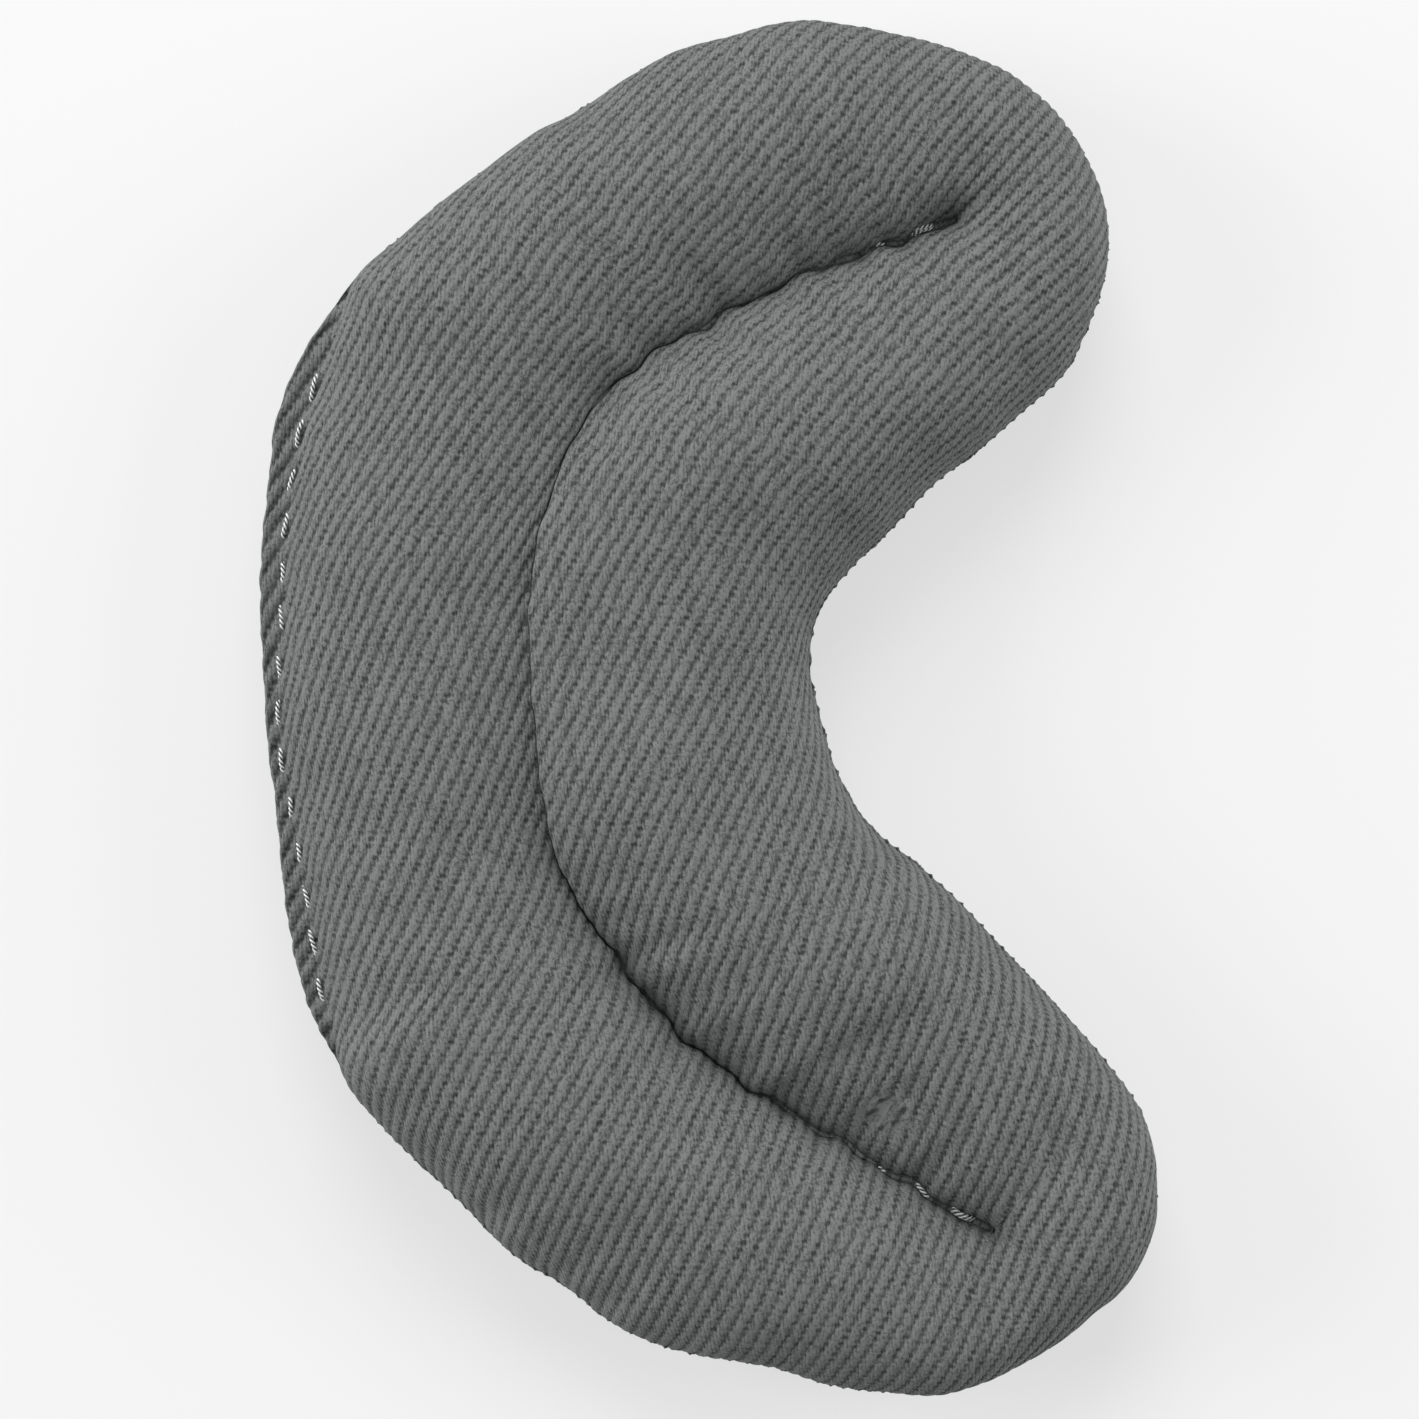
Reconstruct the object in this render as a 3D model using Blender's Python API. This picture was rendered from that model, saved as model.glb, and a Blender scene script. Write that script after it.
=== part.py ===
"""Small crescent-shaped stuffed pad in heavy twill, lying on its back.

Two cloth panels are sewn together round the edge and stuffed with loose fibre.  A curved
quilt seam through the whole thickness divides the stuffing into two channels that join
round both ends of the seam.  The gap that the pad was stuffed through is closed by a flat
lip, both edges turned in and stitched, along the straight outer edge.

Frame: +X from the lip towards the open side of the crescent, +Y along the pad, +Z up.
The origin is the middle of the footprint, on the floor.
"""

from math import cos, pi, sin

import bmesh
import bpy
from mathutils import Vector

MM = 0.001

# Driving dimensions, millimetres
CLOTH = 0.8             # thickness of the twill
HALF_GAP = 0.15         # half the clearance between the two panels
FULLNESS = 0.72         # height of a channel over half its width
END_LIFT = 1.4          # extra fullness round the ends of the quilt seam
BACK_FLAT = 6.8         # how far the back bulges before the floor presses it flat
FRONT_FREE = 20.0       # more than the front ever bulges, so nothing flattens it
ALLOWANCE = 5.0         # seam allowance turned inside round the edge
LIP_WIDTH = 2.3         # closing lip, from its stitches to its folded edge
LIP_ENDS = (-31.5, 34.5)    # where the lip starts and ends, along Y
LIP_FADE = 4.0          # length over which the lip tapers out at each end
CREASE = 0.5            # half the width of the floor of the quilt crease
STITCH = 4.1            # stitch length of every seam
THREAD_R = 0.19         # radius of the sewing thread
THREAD_LIFT = 0.06      # clearance between the thread and the cloth or its partner
ALLOWANCE_LIFT = 0.1    # the same for the loose strands of the edge seam
DIP_TOP = 0.36          # how far from a needle hole's middle the thread starts to dip
DIP_BOTTOM = 0.17       # and where it is fully down
NEEDLE_SLOT = (0.62, 0.33)  # half length and half width of a needle hole
CUTTER_REACH = 2.55     # how far the needle hole cutters reach over and under the seam plane
QUILT_MARGIN = 1.0      # from the end of the quilt line to its first stitch
LIP_STITCH_TOP = (-33.6, 30.0)      # where the lip stitches start
LIP_STITCH_BOTTOM = (-33.1, -26.5)  # and where they end
LIP_SEAM = 0.75         # lip stitches, outside the body edge
EDGE_SEAM = 1.6         # hidden edge stitches, inside the body edge
FILL_GAP = 1.0          # clearance between the stuffing and the cloth
FILL_SLOT = 1.85        # half height of the slot the stuffing leaves for the allowances
FILL_LEAST = 2.25       # least height of the stuffing over the seam plane

# How finely the solids are faceted
SIDE_COLUMNS = 24       # columns along each side of the quilt seam
END_COLUMNS = 10        # columns round each end of it
ARCH_STEPS = 8          # facets across a channel
CURVE_STEPS = 12        # samples between two points of a curve

# Edge of the stuffed body seen from above, counter-clockwise, millimetres
OUTLINE = [
    (7.0, 59.9), (-2.5, 57.6), (-11.1, 52.7), (-19.5, 47.3), (-27.1, 40.9), (-32.2, 35.6),
    (-35.0, 26.0), (-36.6, 16.0), (-37.1, 2.5), (-36.3, -8.0), (-34.8, -17.0),
    (-32.7, -28.5), (-27.8, -37.5), (-17.0, -48.0), (-8.7, -53.6), (0.6, -56.7),
    (10.3, -58.9), (20.2, -59.9), (29.4, -56.1), (36.5, -50.0), (39.2, -42.5),
    (37.6, -35.1), (31.7, -27.4), (21.4, -16.4), (13.8, -9.9), (9.9, -1.5), (9.3, 7.6),
    (16.2, 16.0), (23.6, 22.8), (31.0, 29.4), (34.2, 36.0), (34.8, 43.5), (31.8, 50.5),
    (26.3, 55.4), (17.0, 58.8),
]
# Quilt seam seen from above, from the upper lobe to the lower one, millimetres
QUILT = [
    (21.4, 42.7), (14.2, 40.0), (5.6, 36.7), (-5.2, 30.9), (-11.7, 22.8), (-15.3, 11.0),
    (-15.2, 0.0), (-13.3, -12.4), (-7.5, -22.3), (2.5, -32.2), (13.0, -38.6), (24.7, -45.4),
]
# Points of the edge that face the two corners of each end of the quilt seam
UPPER_OUTER = (15.0, 59.1)
UPPER_INNER = (29.5, 28.0)
LOWER_INNER = (33.9, -30.0)
LOWER_OUTER = (17.2, -59.6)

TWILL = (0.140, 0.147, 0.144)
FIBRE = (0.80, 0.80, 0.78)
THREAD = (0.55, 0.56, 0.56)


def clear_scene():
    for old in list(bpy.data.objects):
        bpy.data.objects.remove(old, do_unlink=True)


def finish_of(name, colour, roughness):
    """Principled material with one colour and no metal."""
    material = bpy.data.materials.new(name)
    material.use_nodes = True
    shader = material.node_tree.nodes["Principled BSDF"]
    shader.inputs["Base Color"].default_value = (*colour, 1.0)
    shader.inputs["Roughness"].default_value = roughness
    shader.inputs["Metallic"].default_value = 0.0
    return material


def smooth_step(value):
    value = min(max(value, 0.0), 1.0)
    return value * value * (3.0 - 2.0 * value)


class Curve:
    """Smooth curve through a few points, read by its length along the curve."""

    def __init__(self, points, closed):
        points = [Vector(p) for p in points]
        self.closed = closed
        spans = len(points) if closed else len(points) - 1
        self.samples = []
        for span in range(spans):
            corners = [self.neighbour(points, span + k) for k in (-1, 0, 1, 2)]
            for step in range(CURVE_STEPS):
                self.samples.append(self.between(corners, step / CURVE_STEPS))
        self.samples.append(points[0] if closed else points[-1])
        self.lengths = [0.0]
        for a, b in zip(self.samples, self.samples[1:]):
            self.lengths.append(self.lengths[-1] + (b - a).length)
        self.total = self.lengths[-1]

    def neighbour(self, points, index):
        if self.closed:
            return points[index % len(points)]
        return points[min(max(index, 0), len(points) - 1)]

    @staticmethod
    def between(corners, t):
        """Catmull-Rom spline between the two middle corners."""
        a, b, c, d = corners
        slope_b = (c - a) * 0.5
        slope_c = (d - b) * 0.5
        t2, t3 = t * t, t * t * t
        return (b * (2 * t3 - 3 * t2 + 1) + slope_b * (t3 - 2 * t2 + t)
                + c * (3 * t2 - 2 * t3) + slope_c * (t3 - t2))

    def at(self, length):
        length = length % self.total if self.closed else min(max(length, 0.0), self.total)
        low, high = 0, len(self.lengths) - 1
        while high - low > 1:
            middle = (low + high) // 2
            if self.lengths[middle] <= length:
                low = middle
            else:
                high = middle
        share = (length - self.lengths[low]) / (self.lengths[high] - self.lengths[low])
        return self.samples[low].lerp(self.samples[high], share)

    def normal(self, length):
        """Unit normal on the right-hand side of the direction of travel."""
        along = (self.at(length + 0.5) - self.at(length - 0.5)).normalized()
        return Vector((along.y, -along.x))

    def nearest(self, place):
        place = Vector(place)
        distances = [(p - place).length for p in self.samples]
        return self.lengths[distances.index(min(distances))]


EDGE = Curve(OUTLINE, closed=True)
SEAM = Curve(QUILT, closed=False)


def edge_columns(sides, ends):
    """Points of the edge, one for each column, from one landmark to the next."""
    marks = [EDGE.nearest(p) for p in (UPPER_OUTER, LOWER_OUTER, LOWER_INNER, UPPER_INNER)]
    points = []
    for index, count in enumerate((sides, ends, sides, ends)):
        start = marks[index]
        reach = (marks[(index + 1) % 4] - start) % EDGE.total
        points += [EDGE.at(start + reach * k / count) for k in range(count)]
    return points


def crease_columns(sides, ends):
    """Points round the floor of the crease, matching edge_columns one by one."""
    points = []
    for k in range(sides):
        length = SEAM.total * k / sides
        points.append(SEAM.at(length) + SEAM.normal(length) * CREASE)
    points += end_arc(SEAM.total, 1.0, ends)
    for k in range(sides):
        length = SEAM.total * (1.0 - k / sides)
        points.append(SEAM.at(length) - SEAM.normal(length) * CREASE)
    points += end_arc(0.0, -1.0, ends)
    return points


def end_arc(length, side, ends):
    """Half circle round an end of the seam, turning counter-clockwise."""
    spoke = SEAM.normal(length) * CREASE * side
    turned = []
    for k in range(ends):
        angle = pi * k / ends
        x = spoke.x * cos(angle) - spoke.y * sin(angle)
        y = spoke.x * sin(angle) + spoke.y * cos(angle)
        turned.append(SEAM.at(length) + Vector((x, y)))
    return turned


class Column:
    """One straight slice of the pad, from the crease out to the edge."""

    def __init__(self, foot, edge, lift):
        self.foot = foot
        self.width = (edge - foot).length
        self.along = (edge - foot).normalized()
        self.arch = FULLNESS * self.width / 2.0 * lift
        low, high = LIP_ENDS
        from_end = min(edge.y - low, high - edge.y) if edge.x < 0.0 else -1.0
        self.lip = smooth_step(from_end / LIP_FADE)

    def place(self, out, height):
        flat = self.foot + self.along * out
        return Vector((flat.x, flat.y, height))


def columns_of(sides, ends):
    feet = crease_columns(sides, ends)
    edges = edge_columns(sides, ends)
    columns = []
    for index, (foot, edge) in enumerate(zip(feet, edges)):
        past = index - sides if index < 2 * sides + ends else index - (2 * sides + ends)
        turn = past / ends if 0 <= past <= ends else 0.0
        lift = 1.0 + (END_LIFT - 1.0) * sin(pi * turn)
        columns.append(Column(foot, edge, lift))
    return columns


def panel_section(column, flat):
    """Section of one panel, from its outer face at the crease round to its inner face.

    Each point is (distance out from the crease, height over the seam plane).
    """
    top = HALF_GAP + CLOTH
    lip_top = top + CLOTH * column.lip
    lip_out = column.width + LIP_WIDTH * column.lip
    outer, inner = [], []
    for step in range(ARCH_STEPS + 1):
        angle = pi * step / ARCH_STEPS
        across = (1.0 - cos(angle)) / 2.0
        rise = column.arch * sin(angle)
        lip_rise = (lip_top - top) * across ** 2
        outer.append((column.width * across, top + min(lip_rise + rise, flat)))
        inside = CLOTH + (column.width - 2.0 * CLOTH) * across
        inner.append((inside, HALF_GAP + min(rise, flat)))
    inner[-1] = (column.width - CLOTH, top)
    rim = [
        (lip_out, HALF_GAP + (lip_top - HALF_GAP) * (0.5 + 0.5 * column.lip)),
        (lip_out, HALF_GAP),
        (lip_out - ALLOWANCE, HALF_GAP),
        (lip_out - ALLOWANCE, top),
    ]
    return outer + rim + inner[::-1]


def fill_section(column):
    """Section of the stuffing: both arches, and the slot round the seam allowances."""
    start = CLOTH + FILL_GAP
    end = column.width - CLOTH - FILL_GAP
    slot = column.width - ALLOWANCE - FILL_GAP
    front, back = [], []
    for step in range(1, ARCH_STEPS):
        angle = pi * step / ARCH_STEPS
        out = start + (end - start) * (1.0 - cos(angle)) / 2.0
        rise = (column.arch - FILL_GAP) * sin(angle)
        front.append((out, max(rise, FILL_LEAST)))
        back.append((out, -min(max(rise, FILL_LEAST), BACK_FLAT - FILL_GAP)))
    arms = [(end, FILL_SLOT), (slot, FILL_SLOT), (slot, -FILL_SLOT), (end, -FILL_SLOT)]
    return [(start, 0.0)] + front + arms + back[::-1]


def object_from(name, mesh, material, smooth):
    if smooth:
        mesh.shade_smooth()
    mesh.materials.append(material)
    body = bpy.data.objects.new(name, mesh)
    bpy.context.scene.collection.objects.link(body)
    return body


def mesh_from(name, bm):
    bmesh.ops.recalc_face_normals(bm, faces=bm.faces)
    mesh = bpy.data.meshes.new(name)
    bm.to_mesh(mesh)
    bm.free()
    return mesh


def crease_floor(bm, ring, sides, ends):
    """Faces that close the panel across the crease, side to side."""
    across = 2 * sides + ends
    for k in range(sides):
        bm.faces.new((ring[k], ring[k + 1], ring[across - k - 1],
                      ring[(across - k) % len(ring)]))
    bm.faces.new(ring[sides:sides + ends + 1])
    bm.faces.new(ring[across:] + ring[:1])


def build_panel(name, side, flat, slots, material):
    """One cloth panel.  side is 1 for the front and -1 for the back."""
    columns = columns_of(SIDE_COLUMNS, END_COLUMNS)
    bm = bmesh.new()
    rows = []
    for column in columns:
        section = panel_section(column, flat)
        rows.append([bm.verts.new(column.place(out, side * height) * MM)
                     for out, height in section])
    for row, after in zip(rows, rows[1:] + rows[:1]):
        for k in range(len(row) - 1):
            bm.faces.new((row[k], row[k + 1], after[k + 1], after[k]))
    crease_floor(bm, [row[0] for row in rows], SIDE_COLUMNS, END_COLUMNS)
    crease_floor(bm, [row[-1] for row in rows], SIDE_COLUMNS, END_COLUMNS)
    panel = object_from(name, mesh_from(name, bm), material, smooth=False)
    cut = panel.modifiers.new("needle_holes", "BOOLEAN")
    cut.operation = "DIFFERENCE"
    cut.solver = "EXACT"
    cut.object = slots
    return panel


def build_fill(name, material):
    """Loose stuffing as one ring that runs round the quilt seam."""
    columns = columns_of(SIDE_COLUMNS // 2, END_COLUMNS // 2)
    bm = bmesh.new()
    rows = [[bm.verts.new(column.place(out, height) * MM)
             for out, height in fill_section(column)] for column in columns]
    for row, after in zip(rows, rows[1:] + rows[:1]):
        for k in range(len(row)):
            following = (k + 1) % len(row)
            bm.faces.new((row[k], row[following], after[following], after[k]))
    return object_from(name, mesh_from(name, bm), material, smooth=False)


def stitch_places(curve, start, end, offset):
    """Needle holes along a seam: place and direction of each."""
    count = round((end - start) / STITCH)
    pitch = (end - start) / count
    places = []
    for k in range(count + 1):
        length = start + pitch * k
        out = curve.normal(length)
        along = Vector((-out.y, out.x))
        places.append((curve.at(length) + out * offset, along))
    return places


def build_slots(name, places):
    """Row of small blocks that cut the needle holes."""
    half_length, half_width = NEEDLE_SLOT
    bm = bmesh.new()
    for centre, along in places:
        across = Vector((-along.y, along.x))
        corners = [centre + along * a * half_length + across * b * half_width
                   for a, b in ((-1, -1), (1, -1), (1, 1), (-1, 1))]
        base = bm.faces.new([bm.verts.new(Vector((c.x, c.y, -CUTTER_REACH)) * MM)
                             for c in corners])
        grown = bmesh.ops.extrude_face_region(bm, geom=[base])
        top = [v for v in grown["geom"] if isinstance(v, bmesh.types.BMVert)]
        bmesh.ops.translate(bm, verts=top, vec=(0.0, 0.0, 2.0 * CUTTER_REACH * MM))
    mesh = mesh_from(name, bm)
    cutter = bpy.data.objects.new(name, mesh)
    bpy.context.scene.collection.objects.link(cutter)
    cutter.hide_render = True
    cutter.display_type = "WIRE"
    return cutter


def build_thread(name, points, material):
    """Sewing thread as a thin tube through the given points."""
    data = bpy.data.curves.new(name, "CURVE")
    data.dimensions = "3D"
    data.bevel_depth = THREAD_R * MM
    data.bevel_resolution = 0
    data.use_fill_caps = True
    spline = data.splines.new("POLY")
    spline.points.add(len(points) - 1)
    for knot, point in zip(spline.points, points):
        knot.co = (*(Vector(point) * MM), 1.0)
    data.materials.append(material)
    body = bpy.data.objects.new(name, data)
    bpy.context.scene.collection.objects.link(body)
    return body


def lockstitch(places, side, surface):
    """Thread that lies on the cloth and dips into each needle hole to meet its partner."""
    rest = side * (surface + THREAD_R + THREAD_LIFT)
    deep = side * (THREAD_R + THREAD_LIFT)
    path = ((-DIP_TOP, rest), (-DIP_BOTTOM, deep), (DIP_BOTTOM, deep), (DIP_TOP, rest))
    points = []
    for centre, along in places:
        for step, height in path:
            spot = centre + along * step
            points.append((spot.x, spot.y, height))
    return points


def edge_strand(places, side):
    """Strand of the hidden edge seam, lying on one allowance inside the pad."""
    height = side * (HALF_GAP + CLOTH + THREAD_R + ALLOWANCE_LIFT)
    return [(centre.x, centre.y, height) for centre, _ in places]


def stand_on_floor(bodies):
    """Centres the pad over the origin, with its lowest point on the floor."""
    bpy.context.view_layer.update()
    corners = [body.matrix_world @ Vector(c) for body in bodies for c in body.bound_box]
    low = [min(c[axis] for c in corners) for axis in range(3)]
    high = [max(c[axis] for c in corners) for axis in range(3)]
    root = bpy.data.objects.new("pad", None)
    bpy.context.scene.collection.objects.link(root)
    for body in bpy.context.scene.objects:
        if body is not root:
            body.parent = root
    root.location = (-(low[0] + high[0]) / 2, -(low[1] + high[1]) / 2, -low[2])


def build():
    clear_scene()
    twill = finish_of("grey_twill", TWILL, 0.9)
    fibre = finish_of("polyester_fibre", FIBRE, 0.95)
    thread = finish_of("polyester_thread", THREAD, 0.45)

    lip_start = EDGE.nearest(LIP_STITCH_TOP)
    lip_end = EDGE.nearest(LIP_STITCH_BOTTOM)
    quilt_holes = stitch_places(SEAM, QUILT_MARGIN, SEAM.total - QUILT_MARGIN, 0.0)
    lip_holes = stitch_places(EDGE, lip_start, lip_end, LIP_SEAM)
    edge_places = stitch_places(EDGE, lip_end + LIP_FADE, lip_start + EDGE.total - LIP_FADE,
                                -EDGE_SEAM)
    slots = build_slots("needle_hole_cutter", quilt_holes + lip_holes)

    single = HALF_GAP + CLOTH
    double = HALF_GAP + 2.0 * CLOTH
    bodies = [
        build_panel("front_cover", 1, FRONT_FREE, slots, twill),
        build_panel("back_cover", -1, BACK_FLAT, slots, twill.copy()),
        build_fill("fibre_fill", fibre),
        build_thread("quilt_needle_thread", lockstitch(quilt_holes, 1, single), thread),
        build_thread("quilt_bobbin_thread", lockstitch(quilt_holes, -1, single), thread.copy()),
        build_thread("closing_needle_thread", lockstitch(lip_holes, 1, double), thread.copy()),
        build_thread("closing_bobbin_thread", lockstitch(lip_holes, -1, double), thread.copy()),
        build_thread("edge_needle_thread", edge_strand(edge_places, 1), thread.copy()),
        build_thread("edge_bobbin_thread", edge_strand(edge_places, -1), thread.copy()),
    ]
    stand_on_floor(bodies)


build()
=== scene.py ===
import math

import bpy
import numpy as np

from mathutils.kdtree import KDTree
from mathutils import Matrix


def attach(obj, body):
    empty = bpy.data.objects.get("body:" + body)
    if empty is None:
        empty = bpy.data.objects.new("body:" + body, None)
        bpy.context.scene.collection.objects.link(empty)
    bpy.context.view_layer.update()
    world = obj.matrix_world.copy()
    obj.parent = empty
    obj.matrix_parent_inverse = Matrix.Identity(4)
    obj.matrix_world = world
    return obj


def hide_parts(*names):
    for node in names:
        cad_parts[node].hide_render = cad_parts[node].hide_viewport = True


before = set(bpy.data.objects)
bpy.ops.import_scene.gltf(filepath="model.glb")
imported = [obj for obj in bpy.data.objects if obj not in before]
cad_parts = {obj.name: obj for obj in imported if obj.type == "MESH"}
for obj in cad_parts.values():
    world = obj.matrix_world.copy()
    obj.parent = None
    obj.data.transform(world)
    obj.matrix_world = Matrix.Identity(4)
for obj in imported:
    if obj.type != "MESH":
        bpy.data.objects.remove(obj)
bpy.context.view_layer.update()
for loaded in list(bpy.context.selected_objects):
    loaded.select_set(False)

# ----------
# Studio: the camera looks straight down on the pad, which lies on a plain pale table.
# Soft boxes stand at the left, the right and the top, and a soft grey surround fills in.
MM = 0.001
SEAM_Z = 7.75  # height of the plane in which the two panels meet
LENS = 100.0
SENSOR = 36.0
VIEW_WIDTH = 124.47  # what the frame covers at the seam plane


def linear(code):
    """Linear colour from an sRGB hex code."""
    shares = [int(code[k:k + 2], 16) / 255.0 for k in (1, 3, 5)]
    return [s / 12.92 if s <= 0.04045 else ((s + 0.055) / 1.055) ** 2.4 for s in shares] + [1.0]


def add_node(tree, kind, settings=None, links=None):
    """Adds a node, sets its properties and input values, and links its inputs."""
    node = tree.nodes.new(kind)
    for name, value in (settings or {}).items():
        if isinstance(name, int) or name in node.inputs:
            node.inputs[name].default_value = value
        else:
            setattr(node, name, value)
    for name, source in (links or {}).items():
        tree.links.new(source, node.inputs[name])
    return node


def new_material(name):
    """Empty node material with an output node."""
    material = bpy.data.materials.new(name)
    material.use_nodes = True
    material.node_tree.nodes.clear()
    output = material.node_tree.nodes.new("ShaderNodeOutputMaterial")
    return material, material.node_tree, output


bpy.context.scene.view_settings.view_transform = "Standard"
distance = LENS / SENSOR * VIEW_WIDTH
bpy.ops.object.camera_add(location=(0.0, 0.0, (SEAM_Z + distance) * MM), rotation=(0.0, 0.0, 0.0))
camera = bpy.context.object
camera.name = "overhead_camera"
camera.data.lens = LENS
camera.data.sensor_width = SENSOR
camera.data.dof.use_dof = False
camera.data.clip_start = 0.01
bpy.context.scene.camera = camera
camera.select_set(False)

# Name, direction it stands in, size and power of each soft box
SOFT_BOXES = [
    ("left_soft_box", (-0.93, 0.12, 0.36), 0.60, 7.2),
    ("right_soft_box", (0.93, 0.10, 0.36), 0.60, 5.3),
    ("top_soft_box", (-0.05, 0.78, 0.64), 0.60, 5.4),
]
for name, stand, size, power in SOFT_BOXES:
    bpy.ops.object.light_add(type="AREA", location=stand)
    soft_box = bpy.context.object
    soft_box.name = name
    soft_box.data.shape = "SQUARE"
    soft_box.data.size = size
    soft_box.data.energy = power
    soft_box.rotation_mode = "QUATERNION"
    soft_box.rotation_quaternion = soft_box.location.to_track_quat("Z", "Y")
    soft_box.select_set(False)

world = bpy.context.scene.world or bpy.data.worlds.new("surround")
bpy.context.scene.world = world
world.use_nodes = True
surround = next(n for n in world.node_tree.nodes if n.type == "BACKGROUND")
surround.inputs["Color"].default_value = linear("#FFFFFF")
surround.inputs["Strength"].default_value = 0.28

# Matt white table, faintly lit from inside like a light table, which softens the shadow.
bpy.ops.mesh.primitive_plane_add(size=30.0, location=(0.0, 0.0, 0.0))
table = bpy.context.object
table.name = "table"
table.visible_diffuse = False       # its glow doesn't lighten the pad's underside
table.select_set(False)
table_finish, tree, output = new_material("matt_white_table")
board = add_node(tree, "ShaderNodeBsdfPrincipled", {
    "Base Color": linear("#A5A5A5"), "Roughness": 0.9, "Emission Color": linear("#FFFFFF"),
    "Emission Strength": 0.56, "Specular IOR Level": 0.1})
tree.links.new(board.outputs[0], output.inputs["Surface"])
table.data.materials.append(table_finish)

# ----------
# Cut and sewn shape: the edge of the stuffed body, the curved quilt seam and the
# lip.  Columns of points run from the quilt seam out to the edge, all the way round.
# Edge of the stuffed body seen from above, anticlockwise from the top, in mm
BODY_EDGE = [
    (7.0, 59.9), (2.2, 58.9), (-2.5, 57.7), (-6.9, 55.4), (-11.1, 52.7), (-15.4, 50.2),
    (-19.5, 47.3), (-23.5, 44.4), (-27.1, 41.3), (-30.7, 38.0), (-32.3, 34.3), (-33.4, 30.8),
    (-34.4, 27.5), (-35.4, 24.5), (-36.0, 21.0), (-36.6, 17.5), (-37.0, 14.0), (-37.1, 9.6),
    (-37.3, 2.5), (-37.2, -3.2), (-36.5, -7.1), (-35.8, -11.5), (-34.9, -16.8), (-34.0, -22.3),
    (-33.2, -26.8), (-32.4, -31.0), (-31.0, -33.8), (-27.8, -37.5), (-24.1, -41.0), (-20.5, -44.5),
    (-16.9, -48.0), (-12.7, -50.5), (-8.7, -53.6), (-4.3, -55.7), (0.6, -56.8), (5.5, -57.6),
    (10.3, -59.1), (15.3, -59.8), (20.2, -59.8), (24.9, -58.4), (29.4, -56.1), (33.3, -53.1),
    (36.9, -49.7), (38.9, -45.1), (39.0, -40.1), (37.8, -35.3), (35.0, -31.2), (31.7, -27.4),
    (28.3, -23.7), (24.9, -20.1), (21.4, -16.4), (17.7, -13.2), (13.8, -10.0), (11.3, -5.8),
    (9.8, -1.1), (8.8, 3.9), (9.6, 8.7), (12.6, 12.6), (16.2, 16.1), (19.6, 19.7), (23.6, 22.8),
    (27.3, 26.0), (31.0, 29.4), (33.3, 33.9), (34.7, 38.6), (34.7, 43.5), (33.0, 48.3),
    (30.2, 52.3), (26.3, 55.4), (21.8, 57.5), (17.0, 58.8), (12.0, 59.6),
]
# Quilt seam, from the upper lobe round to the lower one, in mm
QUILT_LINE = [
    (21.4, 42.7), (18.2, 41.6), (14.2, 40.0), (10.3, 38.8), (5.6, 36.6), (0.0, 33.7),
    (-5.2, 30.6), (-9.3, 26.9), (-11.9, 22.9), (-13.3, 19.3), (-14.6, 15.3), (-15.3, 11.0),
    (-15.5, 7.0), (-15.2, 1.0), (-14.5, -6.2), (-13.4, -12.0), (-11.6, -16.2), (-7.5, -22.3),
    (-3.0, -27.8), (2.5, -32.2), (9.6, -36.6), (16.0, -40.5), (21.6, -43.9), (24.7, -45.4),
]
# Places on the edge that face the two corners of each end of the quilt seam
UPPER_OUTER = (14.6, 59.2)
UPPER_INNER = (29.8, 28.3)
LOWER_INNER = (34.2, -30.3)
LOWER_OUTER = (17.2, -59.9)
SPAN_STEPS = 24  # points between two points of a line
SIDE_COLUMNS = 560  # columns along each side of the quilt seam
END_COLUMNS = 240  # columns round each end of it
FOOT_GAP = 0.04  # half the width of the closed crease
OPEN_GAP = 0.24  # the same where the crease opens and shows its stitches
# Places where it opens, as (place along the seam, reach, how much)
OPEN_PLACES = [
    (1.5, 2.2, 1.0), (5.8, 1.4, 0.7), (9.9, 1.8, 0.9), (23.4, 1.3, 0.6), (35.0, 1.6, 0.3),
    (87.2, 1.6, 0.3), (91.4, 1.6, 0.4), (106.0, 1.6, 0.7), (110.0, 1.6, 0.8), (113.5, 1.8, 0.8),
    (119.0, 3.0, 1.0), (124.8, 3.4, 1.0),
]
# Share of the crest at which the two channels touch over the seam, by place along it
MEETING = [
    (0.0, 0.16), (6.0, 0.24), (22.0, 0.28), (30.0, 0.38), (38.0, 0.60), (45.0, 0.86), (71.0, 0.86),
    (78.0, 0.62), (86.0, 0.38), (95.0, 0.28), (118.0, 0.24), (127.0, 0.14),
]
STITCH = 4.1  # stitch length of every seam


def cubic(t):
    """Shares of the four nearest points at each place t between the middle two."""
    return np.stack([-t ** 3 / 2 + t ** 2 - t / 2, 1.5 * t ** 3 - 2.5 * t ** 2 + 1,
                     -1.5 * t ** 3 + 2 * t ** 2 + t / 2, t ** 3 / 2 - t ** 2 / 2], -1)


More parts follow.
